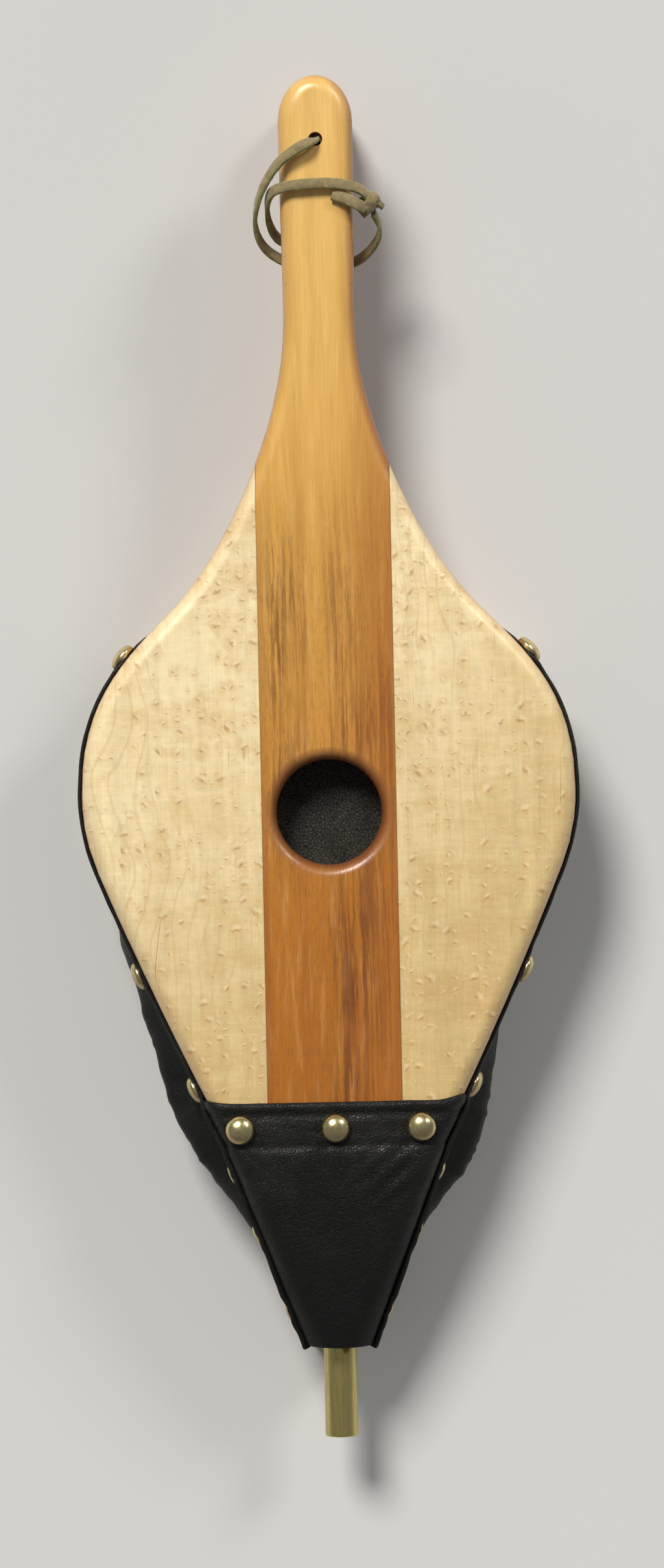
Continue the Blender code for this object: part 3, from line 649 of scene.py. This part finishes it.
def finer_rounds(bm, outer_z, steps):
    """Divides the outer face's rounded edges into steps times as many facets, with new points on the arc."""

    def depth(vert):
        return abs(vert.co.z / MM - outer_z)

    def radius_at(vert):
        from_inlet = math.hypot(vert.co.x / MM, vert.co.y / MM - INLET_Y)
        return INLET_ROUND if from_inlet < INLET_R + INLET_ROUND + 0.3 else EDGE_ROUND

    chords = []
    for e in bm.edges:
        a, b = sorted(e.verts, key=depth)
        radius = radius_at(a)
        if depth(b) < radius + 0.02 and depth(b) - depth(a) > 0.1 and e.calc_length() < radius * MM:
            chords.append(e)
    arcs = []
    for e in chords:
        a, b = sorted(e.verts, key=depth)
        radius = radius_at(a)
        turns = [math.acos(max(-1.0, 1 - depth(v) / radius)) for v in (a, b)]
        out = Vector((b.co.x - a.co.x, b.co.y - a.co.y, 0.0))
        down = Vector((0, 0, math.copysign(1.0, b.co.z - a.co.z)))
        start = a.co.copy()
        across = max(math.sin(turns[1]) - math.sin(turns[0]), 1e-6)
        points = []
        for i in range(1, steps):
            angle = turns[0] + (turns[1] - turns[0]) * i / steps
            reach = (math.sin(angle) - math.sin(turns[0])) / across
            drop = radius * (math.cos(turns[0]) - math.cos(angle)) * MM
            points.append((start.lerp(b.co, i / steps), start + out * reach + down * drop))
        arcs += points
    bmesh.ops.subdivide_edges(bm, edges=chords, cuts=steps - 1, use_grid_fill=False)
    tree = KDTree(len(arcs))
    for i, (flat, _) in enumerate(arcs):
        tree.insert(flat, i)
    tree.balance()
    for v in bm.verts:
        _, i, away = tree.find(v.co)
        if away < 1e-6:
            v.co = arcs[i][1]


def board_piece(name, node, body, slot, inner_z, finish):
    """A piece of a CAD board: edges rounder, the glue line closed to a hairline, the inner edge eased."""
    bm = welded(node)
    finer_rounds(bm, FRONT_Z if inner_z == FRONT_INNER_Z else 0.0, 3)
    hairline = 0.012
    for v in bm.verts:
        if on_glue_line(v):
            out = hairline if abs(v.co.x) > STRIP_HALF * MM else -hairline
            v.co.x = math.copysign((STRIP_HALF + out) * MM, v.co.x)
    eased = []
    for e in bm.edges:
        a, b = e.verts
        inner = all(abs(v.co.z - inner_z * MM) < 0.02 * MM for v in e.verts)
        sawn = on_glue_line(a) and on_glue_line(b)
        if inner and not sawn and e.calc_length() > 1.6 * MM and e.calc_face_angle(0) > 1.0:
            eased.append(e)
    bmesh.ops.bevel(bm, geom=eased, offset=0.9 * MM, segments=3, profile=0.5, affect="EDGES",
                    clamp_overlap=True)
    obj = from_bmesh(name, bm, finish)
    verts = obj.data.vertices
    sawn_faces = [face for face in obj.data.polygons if all(on_glue_line(verts[i]) for i in face.vertices)]
    sawn = {key for face in sawn_faces for key in face.edge_keys}
    for e in obj.data.edges:
        if e.key in sawn:
            e.use_edge_sharp = True
    obj.modifiers.new("weighted", "WEIGHTED_NORMAL").keep_sharp = True
    return stands_for(obj, body, slot, node)


def boards():
    front_maple = maple("front_maple", FRONT_Z, 2.0)
    back_maple = maple("back_maple", 0.0, 93.0)
    front_strip = strip_wood("front_strip_wood", FRONT_Z, 5.0)
    back_strip = strip_wood("back_strip_wood", 0.0, 131.0)
    for side in ("left", "right"):
        board_piece(f"front_maple_{side}", f"front_wing_{side}", "front_board", "wing_wood",
                    FRONT_INNER_Z, front_maple)
        board_piece(f"back_maple_{side}", f"back_wing_{side}", "back_board", "wing_wood", BACK_INNER_Z,
                    back_maple)
    board_piece("front_strip", "front_centre_strip", "front_board", "strip_wood", FRONT_INNER_Z,
                front_strip)
    board_piece("back_strip", "back_centre_strip", "back_board", "strip_wood", BACK_INNER_Z, back_strip)


def block(finish):
    obj = from_bmesh("block", welded("nozzle_block"), finish)
    obj.modifiers.new("weighted", "WEIGHTED_NORMAL").keep_sharp = True
    stands_for(obj, "back_board", "block_wood", "nozzle_block")


def batten(finish):
    low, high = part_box("valve_batten")
    bm = bmesh.new()
    bmesh.ops.create_cube(bm, size=1.0)
    bm.transform(Matrix.Translation((low + high) / 2) @ Matrix.Diagonal((*(high - low), 1.0)))
    bmesh.ops.bevel(bm, geom=bm.edges[:], offset=0.7 * MM, segments=3, profile=0.5, affect="EDGES")
    stands_for(from_bmesh("batten", bm, finish), "front_board", "block_wood", "valve_batten")


# ---- brass
def tube(finish):
    """The nozzle tube, with its rim broken inside and out."""
    low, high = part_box("nozzle_tube")
    radius = (high.x - low.x) / 2 / MM
    bore = radius - 1.0
    long = (high.y - low.y) / MM
    axis = Vector((0.0, high.y, (low.z + high.z) / 2)) / MM
    turn = Matrix.Translation(axis) @ Vector((0, -1, 0)).to_track_quat("Z", "Y").to_matrix().to_4x4()
    profile = [
        (radius, 0.0), (radius, long - 60.0), (radius, long - 0.8), (radius - 0.12, long - 0.3),
        (radius - 0.45, long), (bore + 0.4, long), (bore + 0.1, long - 0.3), (bore, long - 0.8), (bore, 0.0),
        (radius, 0.0),
    ]
    bm = turned(profile, 96, turn)
    bmesh.ops.remove_doubles(bm, verts=bm.verts, dist=1e-7)
    stands_for(from_bmesh("tube", bm, finish), "back_board", "aged_brass", "nozzle_tube")


def tack_frame(node):
    """Where a CAD tack's head sits: the dome's top, the way it faces, its radius and its rise."""
    points = np.array([v.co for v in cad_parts[node].data.vertices]) / MM
    apart = np.linalg.norm(points[:, None] - points[None], axis=2)
    a, b = np.unravel_index(apart.argmax(), apart.shape)
    middle = points.mean(axis=0)
    top, tip = points[a], points[b]
    if np.linalg.norm(top - middle) > np.linalg.norm(tip - middle):
        top, tip = tip, top
    facing = unit(top - tip)
    from_top = points - top
    down = -(from_top @ facing)
    out = np.linalg.norm(from_top + down[:, None] * facing, axis=1)
    return top, facing, out.max(), down[out.argmax()]


def tack(node, body, finish, number):
    """A domed head, pressed a little into what it holds and never quite round."""
    top, facing, radius, rise = tack_frame(node)
    steps = 12
    sink = 1.1
    profile = [(0.0, -sink), (radius * 0.93, -sink), (radius * 0.985, -0.3), (radius, 0.0)]
    for i in range(1, steps):
        a = math.pi / 2 * i / steps
        profile.append((radius * math.cos(a), rise * math.sin(a)))
    profile.append((0.0, rise))
    base = Vector(top - facing * rise)
    turn = Matrix.Translation(base) @ Vector(facing).to_track_quat("Z", "Y").to_matrix().to_4x4()
    bm = turned(profile, 44, turn)
    for v in bm.verts:
        p = v.co / MM
        v.co += Vector(facing) * wave(p.x / 3.2, p.y / 3.2, p.z / 3.2, number) * 0.10 * MM
    obj = from_bmesh("head_" + node[len("tack_"):], bm, finish)
    stands_for(obj, body, "bright_brass", node)


def tacks(finish):
    names = sorted(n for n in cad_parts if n.startswith("tack_"))
    for number, node in enumerate(names):
        body = "back_board" if node.startswith(("tack_back", "tack_block")) else "front_board"
        tack(node, body, finish, number)


# ---- leather
def block_shape(y):
    """Half width, top height and edge radius of the block at y, or of the front board above the hinge."""
    share = max(0.0, (HINGE_Y - y) / (HINGE_Y - NOSE_Y))
    if y > HINGE_Y:
        above = (y - HINGE_Y) / (WIDEST_END_Y - HINGE_Y)
        half = HINGE_HALF + (WIDEST_END_HALF - HINGE_HALF) * above + 4 * TAPER_BOW * above * (1 - above)
    else:
        half = HINGE_HALF + (NOSE_HALF - HINGE_HALF) * share
    top = FRONT_Z - (FRONT_Z - NOSE_TOP_Z) * share**1.6
    return half, top, EDGE_ROUND + (NOSE_ROUND - EDGE_ROUND) * share


def eased(rows, passes):
    """Each value moved towards its neighbours, the ends kept."""
    rows = np.array(rows, float)
    for _ in range(passes):
        rows[1:-1] = (rows[:-2] + 2 * rows[1:-1] + rows[2:]) / 4
    return rows


def spaced(points, step):
    """Points a step apart along a line of points."""
    points = np.array(points, float)
    lengths = np.concatenate(([0.0], np.cumsum(np.linalg.norm(np.diff(points, axis=0), axis=1))))
    wanted = np.linspace(0.0, lengths[-1], round(lengths[-1] / step) + 1)
    return np.stack([np.interp(wanted, lengths, points[:, k]) for k in range(points.shape[1])], axis=1)


def board_edge():
    """The boards' right-hand edge from the nose to the shoulder, read from the back wing's inner face."""
    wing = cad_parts["back_wing_right"].data
    inner = {tuple(v.co[:2]) for v in wing.vertices if abs(v.co.z - BACK_INNER_Z * MM) < 0.01 * MM}
    curve = {(round(x / MM, 2), round(y / MM, 2)) for x, y in inner if x > 60 * MM}
    curve = sorted((p for p in curve if WIDEST_END_Y - 1 < p[1] < SHOULDER_Y), key=lambda p: p[1])
    taper = [(block_shape(y)[0], y) for y in np.linspace(HINGE_Y + 13.0, WIDEST_END_Y - 13.0, 6)]
    return [(NOSE_HALF, NOSE_Y), (HINGE_HALF, HINGE_Y), *taper, *curve]


# How far the gusset's middle stands out of the edge, by y, on each side. Below 0 it folds inwards.
SWELL = {
    1: (
        (-223.3, 0.0), (-205.0, 0.8), (-190.0, 2.0), (-176.0, 4.0), (-165.0, 7.5), (-155.0, 11.5),
        (-146.0, 12.5), (-130.0, 11.0), (-118.0, 6.5), (-104.0, 2.0), (-88.0, -2.0), (-70.0, -7.0),
        (-40.0, -13.0), (0.0, -16.0),
    ),
    -1: (
        (-223.3, 0.0), (-205.0, 1.0), (-190.0, 2.6), (-178.0, 4.0), (-166.0, 6.5), (-155.0, 10.5),
        (-146.0, 13.5), (-128.0, 13.5), (-106.0, 9.5), (-84.0, 5.0), (-66.0, 2.5), (-48.0, -3.0),
        (-30.0, -10.0), (0.0, -16.0),
    ),
}


def gusset_half(side):
    """One half of the gusset's outer face, from the nose to the middle of the neck, as a grid of points."""
    edge = spaced(board_edge(), EDGE_STEP)
    neck = spaced(NECK, 3.0)
    line = np.concatenate([edge, neck])
    line[2:-1] = eased(line[1:], 3)[1:-1]
    along = unit(np.gradient(line, axis=0))
    along[-1] = (-1.0, 0.0)
    out = np.stack([along[:, 1], -along[:, 0]], axis=1)
    arc = np.concatenate(([0.0], np.cumsum(np.linalg.norm(np.diff(line, axis=0), axis=1))))
    on_edge = len(edge)
    low, high, swell, lip = [], [], [], []
    for i, (x, y) in enumerate(line):
        _, top, radius = block_shape(y)
        tacked = i < on_edge
        low.append(7.0 if tacked else 20.0)
        over_cap = 1 - smoothstep(CAP_TOP_Y - 1.5, CAP_TOP_Y + 3.0, y)
        high.append(top - radius - 0.4 + 1.5 * over_cap if tacked else 37.0)
        lip.append(2.5 * over_cap if tacked else 0.0)
        swell.append(np.interp(y, *zip(*SWELL[side])) if tacked else -3.0)
    low, high, lip = (eased(v, 3) for v in (low, high, lip))
    swell = eased(swell, 6)
    tack_places = [tack_frame(n)[0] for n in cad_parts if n.startswith("tack_") and "_right_" in n]
    tack_arcs = []
    for place in tack_places:
        nearest = np.linalg.norm(line - place[:2], axis=1).argmin()
        tack_arcs.append((arc[nearest], place[2]))
    grid = []
    for i in range(len(line)):
        section = gusset_section(low[i], high[i], swell[i], lip[i])
        row = []
        for j, (stand, z) in enumerate(section):
            free = math.sin(math.pi * j / (len(section) - 1)) ** 2
            stand += free * (0.9 * wave(arc[i] / 17.0, z / 15.0, 0.0, 5 + side)
                             + 0.45 * wave(arc[i] / 5.5, z / 11.0, 0.0, 9 + side))
            stand += pleats(arc[i], z, swell[i], free, side)
            loose = 0.22 + 0.30 * smoothstep(-150.0, -185.0, line[i][1])
            stand += loose * wave(arc[i] / 8.0, z / 30.0, 0.0, 17 + side)
            for tack_arc, tack_z in tack_arcs:
                stand += pucker(arc[i] - tack_arc, z - tack_z)
            x, y = line[i] + out[i] * stand
            row.append((side * x, y, z + 0.25 * wave(arc[i] / 13.0, 0.0, 0.0, 23 + side)))
        grid.append(row)
    return np.array(grid)


def smoothstep(low, high, value):
    t = min(max((value - low) / (high - low), 0.0), 1.0)
    return t * t * (3 - 2 * t)


def pucker(along, up):
    """Leather pulled in under a tack's head, with short folds running out from it."""
    away = math.hypot(along, up)
    if away > 22.0:
        return 0.0
    turn = math.atan2(up, along)
    folds = 0.22 * math.sin(8 * turn + 1.3) * hump(away - 8.5, 4.0)
    return folds - 0.35 * hump(away, 5.0)


def pleats(arc, z, swell, free, side):
    """Folds across the bulge beside the hinge, where the leather is gathered."""
    gathered = smoothstep(4.0, 12.0, swell) * free
    phase = arc / (6.5 if side > 0 else 9.0) + 0.8 * wave(arc / 14.0, z / 12.0, 0.0, 31 + side)
    ridge = 1 - abs(math.sin(math.pi * phase))
    uneven = 0.5 + 0.9 * abs(wave(arc / 9.0, z / 25.0, 0.0, 33 + side))
    return gathered * (ridge**2 - 0.3) * uneven * (1.1 if side > 0 else 0.8)


SECTION_HEM = (0.0, 0.10, 0.3, 0.6, 0.85)
SECTION_FOLD = 17
SECTION_TOP = (0.15, 0.45, 0.70, 0.80, 0.88, 0.95, 1.0)


def gusset_section(low, high, swell, lip):
    """The gusset's outer face at one place on the edge, from its lower hem to its rolled upper edge.

    It is a list of how far each point stands out of the board's edge, and its height.
    """
    hem = min(11.6, 0.42 * (high - low))
    fold_low, fold_high = low + hem, high - hem
    middle = (fold_low + fold_high) / 2
    half = (fold_high - fold_low) / 2
    flat = GUSSET_OUT
    section = []
    for share in SECTION_HEM:
        section.append((flat + 0.35 * hump(share, 0.12), low + hem * share))
    bulging = smoothstep(-3.0, 3.0, swell)
    for k in range(SECTION_FOLD):
        u = k / (SECTION_FOLD - 1)
        v = abs(2 * u - 1)
        side = 1 if u > 0.5 else -1
        tuck = flat + min(swell, 0.0) * (1 - math.sqrt(v * v + 0.015) / math.sqrt(1.015))
        tuck_z = middle + side * half * (0.72 * v + 0.28 * v**8)
        bulge = flat + max(swell, 0.0) * math.sin(math.pi * u) ** 1.6
        bulge_z = middle + side * half * v
        section.append((tuck + (bulge - tuck) * bulging, tuck_z + (bulge_z - tuck_z) * bulging))
    for share in SECTION_TOP:
        z = fold_high + hem * share
        bead = hump(z - high + 0.9, 1.2)
        section.append((flat + (0.25 + lip) * bead, z))
    return section


def gusset(finish):
    """One strip of leather round both boards' edges, in three pieces."""
    right = gusset_half(1)
    left = gusset_half(-1)
    grid = np.concatenate([right, left[-2::-1]])
    thick = np.full(grid.shape[:2], GUSSET_THICK)
    thick[:, -4:] += np.array((0.15, 0.35, 0.40, 0.30))
    thick[:, :2] += np.array((0.3, 0.2))
    points, faces, row_of = shell(grid, thick)
    mesh = mesh_of("gusset_whole", points, faces)
    normals = [n.vector.copy() for n in mesh.vertex_normals]
    bpy.data.meshes.remove(mesh)
    edge = spaced(board_edge(), EDGE_STEP)
    seam = int(np.abs(edge[:, 1] - SEAM_Y).argmin())
    last = len(grid) - 1
    parts = {
        "gusset_nose_right": (0, seam),
        "gusset_chamber": (seam, last - seam),
        "gusset_nose_left": (last - seam, last),
    }
    made = {}
    for name, (start, end) in parts.items():
        kept = [f for f in faces if min(row_of[k] for k in f) >= start and max(row_of[k] for k in f) <= end]
        used = sorted({k for f in kept for k in f})
        where = {k: n for n, k in enumerate(used)}
        mesh = mesh_of(name, points[used], [[where[k] for k in f] for f in kept])
        mesh.shade_smooth()
        mesh.normals_split_custom_set_from_vertices([normals[k] for k in used])
        made[name] = from_mesh(name, mesh, [finish])
    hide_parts("leather_gusset")
    gap = (FRONT_INNER_Z - BACK_INNER_Z) * MM
    start = Vector((0.0, 0.0, BACK_INNER_Z * MM))
    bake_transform(made["gusset_chamber"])
    at = edge[seam] * MM
    along = unit(edge[seam + 1] - edge[seam - 1])
    reach = 10.0 * MM
    for name, side in (("gusset_nose_right", 1), ("gusset_nose_left", -1)):
        slope = Vector((side * along[0] / reach, along[1] / reach, 1 / gap))
        start = Vector((side * at[0], at[1], BACK_INNER_Z * MM))
        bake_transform(made[name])
    return made["gusset_chamber"], [made["gusset_nose_right"], made["gusset_nose_left"]]


def cap_relief(x, y, seats):
    """How far the cap's surface stands up at a place: rolled edge, creases, and hollows under the tacks."""
    from_edge = CAP_TOP_Y - y
    high = 0.62 * hump(from_edge - 1.6, 1.3) - 0.38 * hump(from_edge - 4.4, 1.3)
    for seat_x, seat_y in seats:
        away = math.hypot(x - seat_x, y - seat_y)
        high -= 0.55 * hump(away, 6.0)
        turn = math.atan2(y - seat_y, x - seat_x)
        high += 0.16 * math.sin(7 * turn + seat_x) * hump(away - 9.0, 4.5)
    bend = y + 2.2 * wave(x / 11.0, y / 20.0, 0.0, 2)
    ripple = math.sin(bend * math.tau / 2.3) * hump(y + 139.5, 3.6)
    high += 0.27 * ripple * (0.6 + 0.9 * wave(x / 16.0, 0.0, 0.0, 3))
    hinge = y + 145.6 + 0.8 * wave(x / 9.0, 0.0, 0.0, 4)
    high -= 0.58 * hump(hinge, 1.5) * (0.8 + 0.5 * wave(x / 13.0, 0.0, 0.0, 6))
    high += 0.4 * hump(y + 151.0, 5.0)
    pull = (x - 24.0) * 0.62 - (y + 158.0) * 0.78 + 2.0 * wave(x / 14.0, y / 14.0, 0.0, 8)
    near = hump(x - 21.0, 10.0) * hump(y + 156.0, 11.0)
    high += 0.55 * math.sin(pull * math.tau / 6.2) * near
    pull = (x + 27.0) * 0.66 + (y + 152.0) * 0.75
    near = hump(x + 27.0, 8.0) * hump(y + 152.0, 7.0)
    high += 0.30 * math.sin(pull * math.tau / 4.6) * near
    high += 0.40 * wave(x / 21.0, y / 17.0, 0.0, 10) + 0.12 * wave(x / 5.0, y / 4.0, 0.0, 12)
    return high


def cap(finish):
    """The leather over the block and the end of the front board, with a rolled upper edge."""
    rows, arc_steps, flat_steps = 78, 9, 30
    seats = [tack_frame(f"tack_cap_{n}")[0][:2] for n in ("left", "middle", "right")]
    grid, thick = [], []
    for i in range(rows + 1):
        share = i / rows
        y = CAP_TOP_Y + (NOSE_Y - CAP_TOP_Y) * (0.35 * share**1.7 + 0.65 * share)
        half, top, radius = block_shape(y)
        right = []
        flat = half - radius
        for k in range(flat_steps // 2):
            right.append((flat * k / (flat_steps // 2), top, 0.0, 1.0))
        for k in range(arc_steps + 1):
            a = math.pi / 2 * k / arc_steps
            out, up = math.sin(a), math.cos(a)
            right.append((flat + radius * out, top - radius + radius * up, out, up))
        section = [(-x, z, -nx, nz) for x, z, nx, nz in right[:0:-1]] + right
        row, row_thick = [], []
        for x, z, nx, nz in section:
            corner = (1 - share) ** 30 * smoothstep(half - 10.0, half - 0.5, abs(x))
            lifted = (1.3 if x > 0 else 0.6) * corner
            high = 1.35 * cap_relief(x, y, seats) * (0.25 + 0.75 * nz)
            out = CAP_OUT - 0.25 + high
            row.append((x + nx * out, y + lifted, z + nz * out))
            row_thick.append(max(1.2, out - 0.35))
        grid.append(row)
        thick.append(row_thick)
    obj = skin("cap", np.array(grid), np.array(thick), finish)
    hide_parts("leather_cap")
    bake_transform(obj)
    return obj


def flap(finish):
    """The valve's leather flap, lying against the inner face and a little proud in the air hole."""
    low, high = (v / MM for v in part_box("valve_flap"))
    rows, columns = 34, 34
    corner = 8.0
    grid = []
    for i in range(rows + 1):
        y = high.y + (low.y - high.y) * i / rows
        inset = corner - math.sqrt(max(0.0, corner**2 - max(0.0, low.y + corner - y) ** 2))
        row = []
        for j in range(columns + 1):
            x = (2 * j / columns - 1) * (high.x - inset)
            away = math.hypot(x, y - INLET_Y)
            proud = 0.9 * (1 - smoothstep(6.0, INLET_R - 1.5, away))
            z = high.z + proud + 0.25 * (wave(x / 9.0, y / 7.0, 0.0, 14) - 0.6)
            row.append((x, y, z))
        grid.append(row)
    obj = skin("flap", np.array(grid), 1.6, finish)
    stands_for(obj, "valve_flap", "black_leather", "valve_flap")
    return obj


# ---- lace
def smooth_line(points, step):
    """Points a step apart on a smooth curve (Catmull-Rom) through the given ones."""
    route = np.array(points, float)
    route = np.concatenate([[2 * route[0] - route[1]], route, [2 * route[-1] - route[-2]]])
    fine = []
    for a, b, c, d in zip(route, route[1:], route[2:], route[3:]):
        for t in np.arange(12) / 12:
            fine.append(0.5 * (2 * b + (c - a) * t + (2 * a - 5 * b + 4 * c - d) * t**2
                               + (3 * b - a - 3 * c + d) * t**3))
    return spaced([*fine, route[-2]], step)


def strap_frames(line, faces):
    """Unit tangents and flat-side normals along a line. Faces are the wanted normals, which may be weak."""
    tangent = unit(np.gradient(line, axis=0))
    wanted = faces - tangent * (faces * tangent).sum(axis=1, keepdims=True)
    weight = np.minimum(np.linalg.norm(wanted, axis=1, keepdims=True), 1.0) ** 2
    wanted = unit(wanted)
    normal = wanted.copy()
    for _ in range(80):
        near = np.concatenate([normal[:1], normal[:-1]]) + np.concatenate([normal[1:], normal[-1:]])
        normal = weight * wanted * 0.5 + near
        normal = unit(normal - tangent * (normal * tangent).sum(axis=1, keepdims=True))
    return tangent, normal


def strap(bm, line, faces, wide, thick, seed):
    """Adds a flat cut strip along a line. Its cut edges take the second material."""
    tangent, normal = strap_frames(line, faces)
    side = np.cross(tangent, normal)
    w, t, e = wide / 2, thick / 2, 0.28
    outline = ((w - e, t), (w, t - e), (w, e - t), (w - e, -t), (e - w, -t), (-w, e - t), (-w, t - e),
               (e - w, t))
    rings = []
    for k, p in enumerate(line):
        ring = []
        for a, b in outline:
            uneven = 1 + 0.07 * wave(k * 0.35, a, b, seed)
            point = p + side[k] * a * uneven + normal[k] * b * uneven
            ring.append(bm.verts.new(point * MM))
        rings.append(ring)
    for low, high in zip(rings, rings[1:]):
        for i in range(8):
            j = (i + 1) % 8
            face = bm.faces.new((low[i], low[j], high[j], high[i]))
            face.material_index = 1 if i in (0, 1, 2, 4, 5, 6) else 0
    for ring in (rings[0], rings[-1]):
        bm.faces.new(ring).material_index = 1


def lace(face, edge):
    """The suede lace: from the knot round the handle, through the hole and round again to the knot."""
    line = smooth_line(LACE_ROUTE, 0.9)
    outwards = np.stack([line[:, 0], np.zeros(len(line)), line[:, 2] - HANDLE_AXIS_Z], axis=1) / 10.0
    in_hole = (abs(line[:, 0]) < 3.5) & (line[:, 1] > 229.0)
    outwards[in_hole] *= 0.05
    bm = bmesh.new()
    strap(bm, line, outwards, LACE_WIDE, LACE_THICK, 3)
    obj = from_bmesh("lace_strip", bm, face, edge)
    stands_for(obj, "front_board", "suede", "lace")
    knot = lace_knot(face, edge)
    length = float(np.linalg.norm(np.diff(line, axis=0), axis=1).sum()) * MM


def lace_knot(face, edge):
    """An overhand knot: the strip wrapped over itself, with its tail across the handle and a short stub."""
    bm = bmesh.new()
    across = unit(np.array((0.74, 0.67, 0.0)))
    axis = unit(np.array((0.62, -0.70, -0.35)))
    deep = np.cross(axis, across)
    turns = np.linspace(-0.35, 1.15, 54)[:, None]
    angle = turns * math.tau
    wrap = KNOT + axis * (turns - 0.4) * 3.0 + across * np.cos(angle) * 3.9 + deep * np.sin(angle) * 2.2
    outwards = across * np.cos(angle) * 2.2 + deep * np.sin(angle) * 3.9
    strap(bm, wrap, unit(outwards), 4.0, 1.6, 7)
    tail = smooth_line(((18.2, 207.6, 56.2), (15.2, 208.9, 58.2), (11.0, 211.0, 58.9),
                        (5.9, 212.6, 58.6)), 0.8)
    strap(bm, tail, np.tile((0.15, 0.1, 1.0), (len(tail), 1)), 4.1, 1.7, 11)
    stub = smooth_line(((19.6, 208.4, 56.2), (20.9, 210.9, 57.0), (22.4, 212.6, 55.6)), 0.7)
    strap(bm, stub, np.tile((0.5, 0.5, 1.0), (len(stub), 1)), 3.9, 1.7, 13)
    core = bmesh.ops.create_icosphere(bm, subdivisions=3, radius=1.0)["verts"]
    for v in core:
        v.co = Vector(KNOT + across * v.co.x * 3.3 + axis * v.co.y * 3.0 + deep * v.co.z * 1.9) * MM
    obj = from_bmesh("lace_knot_tied", bm, face, edge)
    return stands_for(obj, "front_board", "suede", "lace_knot")


# ---- the bellows
def main():
    camera()
    lace(suede("suede", (0.215, 0.158, 0.068), (0.27, 0.215, 0.1)),
         suede("suede_cut", (0.2, 0.195, 0.058), (0.29, 0.275, 0.095)))
    lights()
    floor(floor_finish())
    boards()
    bare = plain_wood("bare_wood")
    block(bare)
    batten(bare)
    tube(aged_brass())
    tacks(bright_brass())
    gusset_leather = leather("gusset_leather", 0.8, 0.09, 0.24)
    chamber, noses = gusset(gusset_leather)
    top = cap(leather("cap_leather", 0.85, 0.26, 0.22))
    # The flap's grain painted six times lighter: painted light where the flap shows in the air hole.
    valve = flap(leather("flap_leather", 1.2, 0.26, 0.14, grey=6.0))


main()
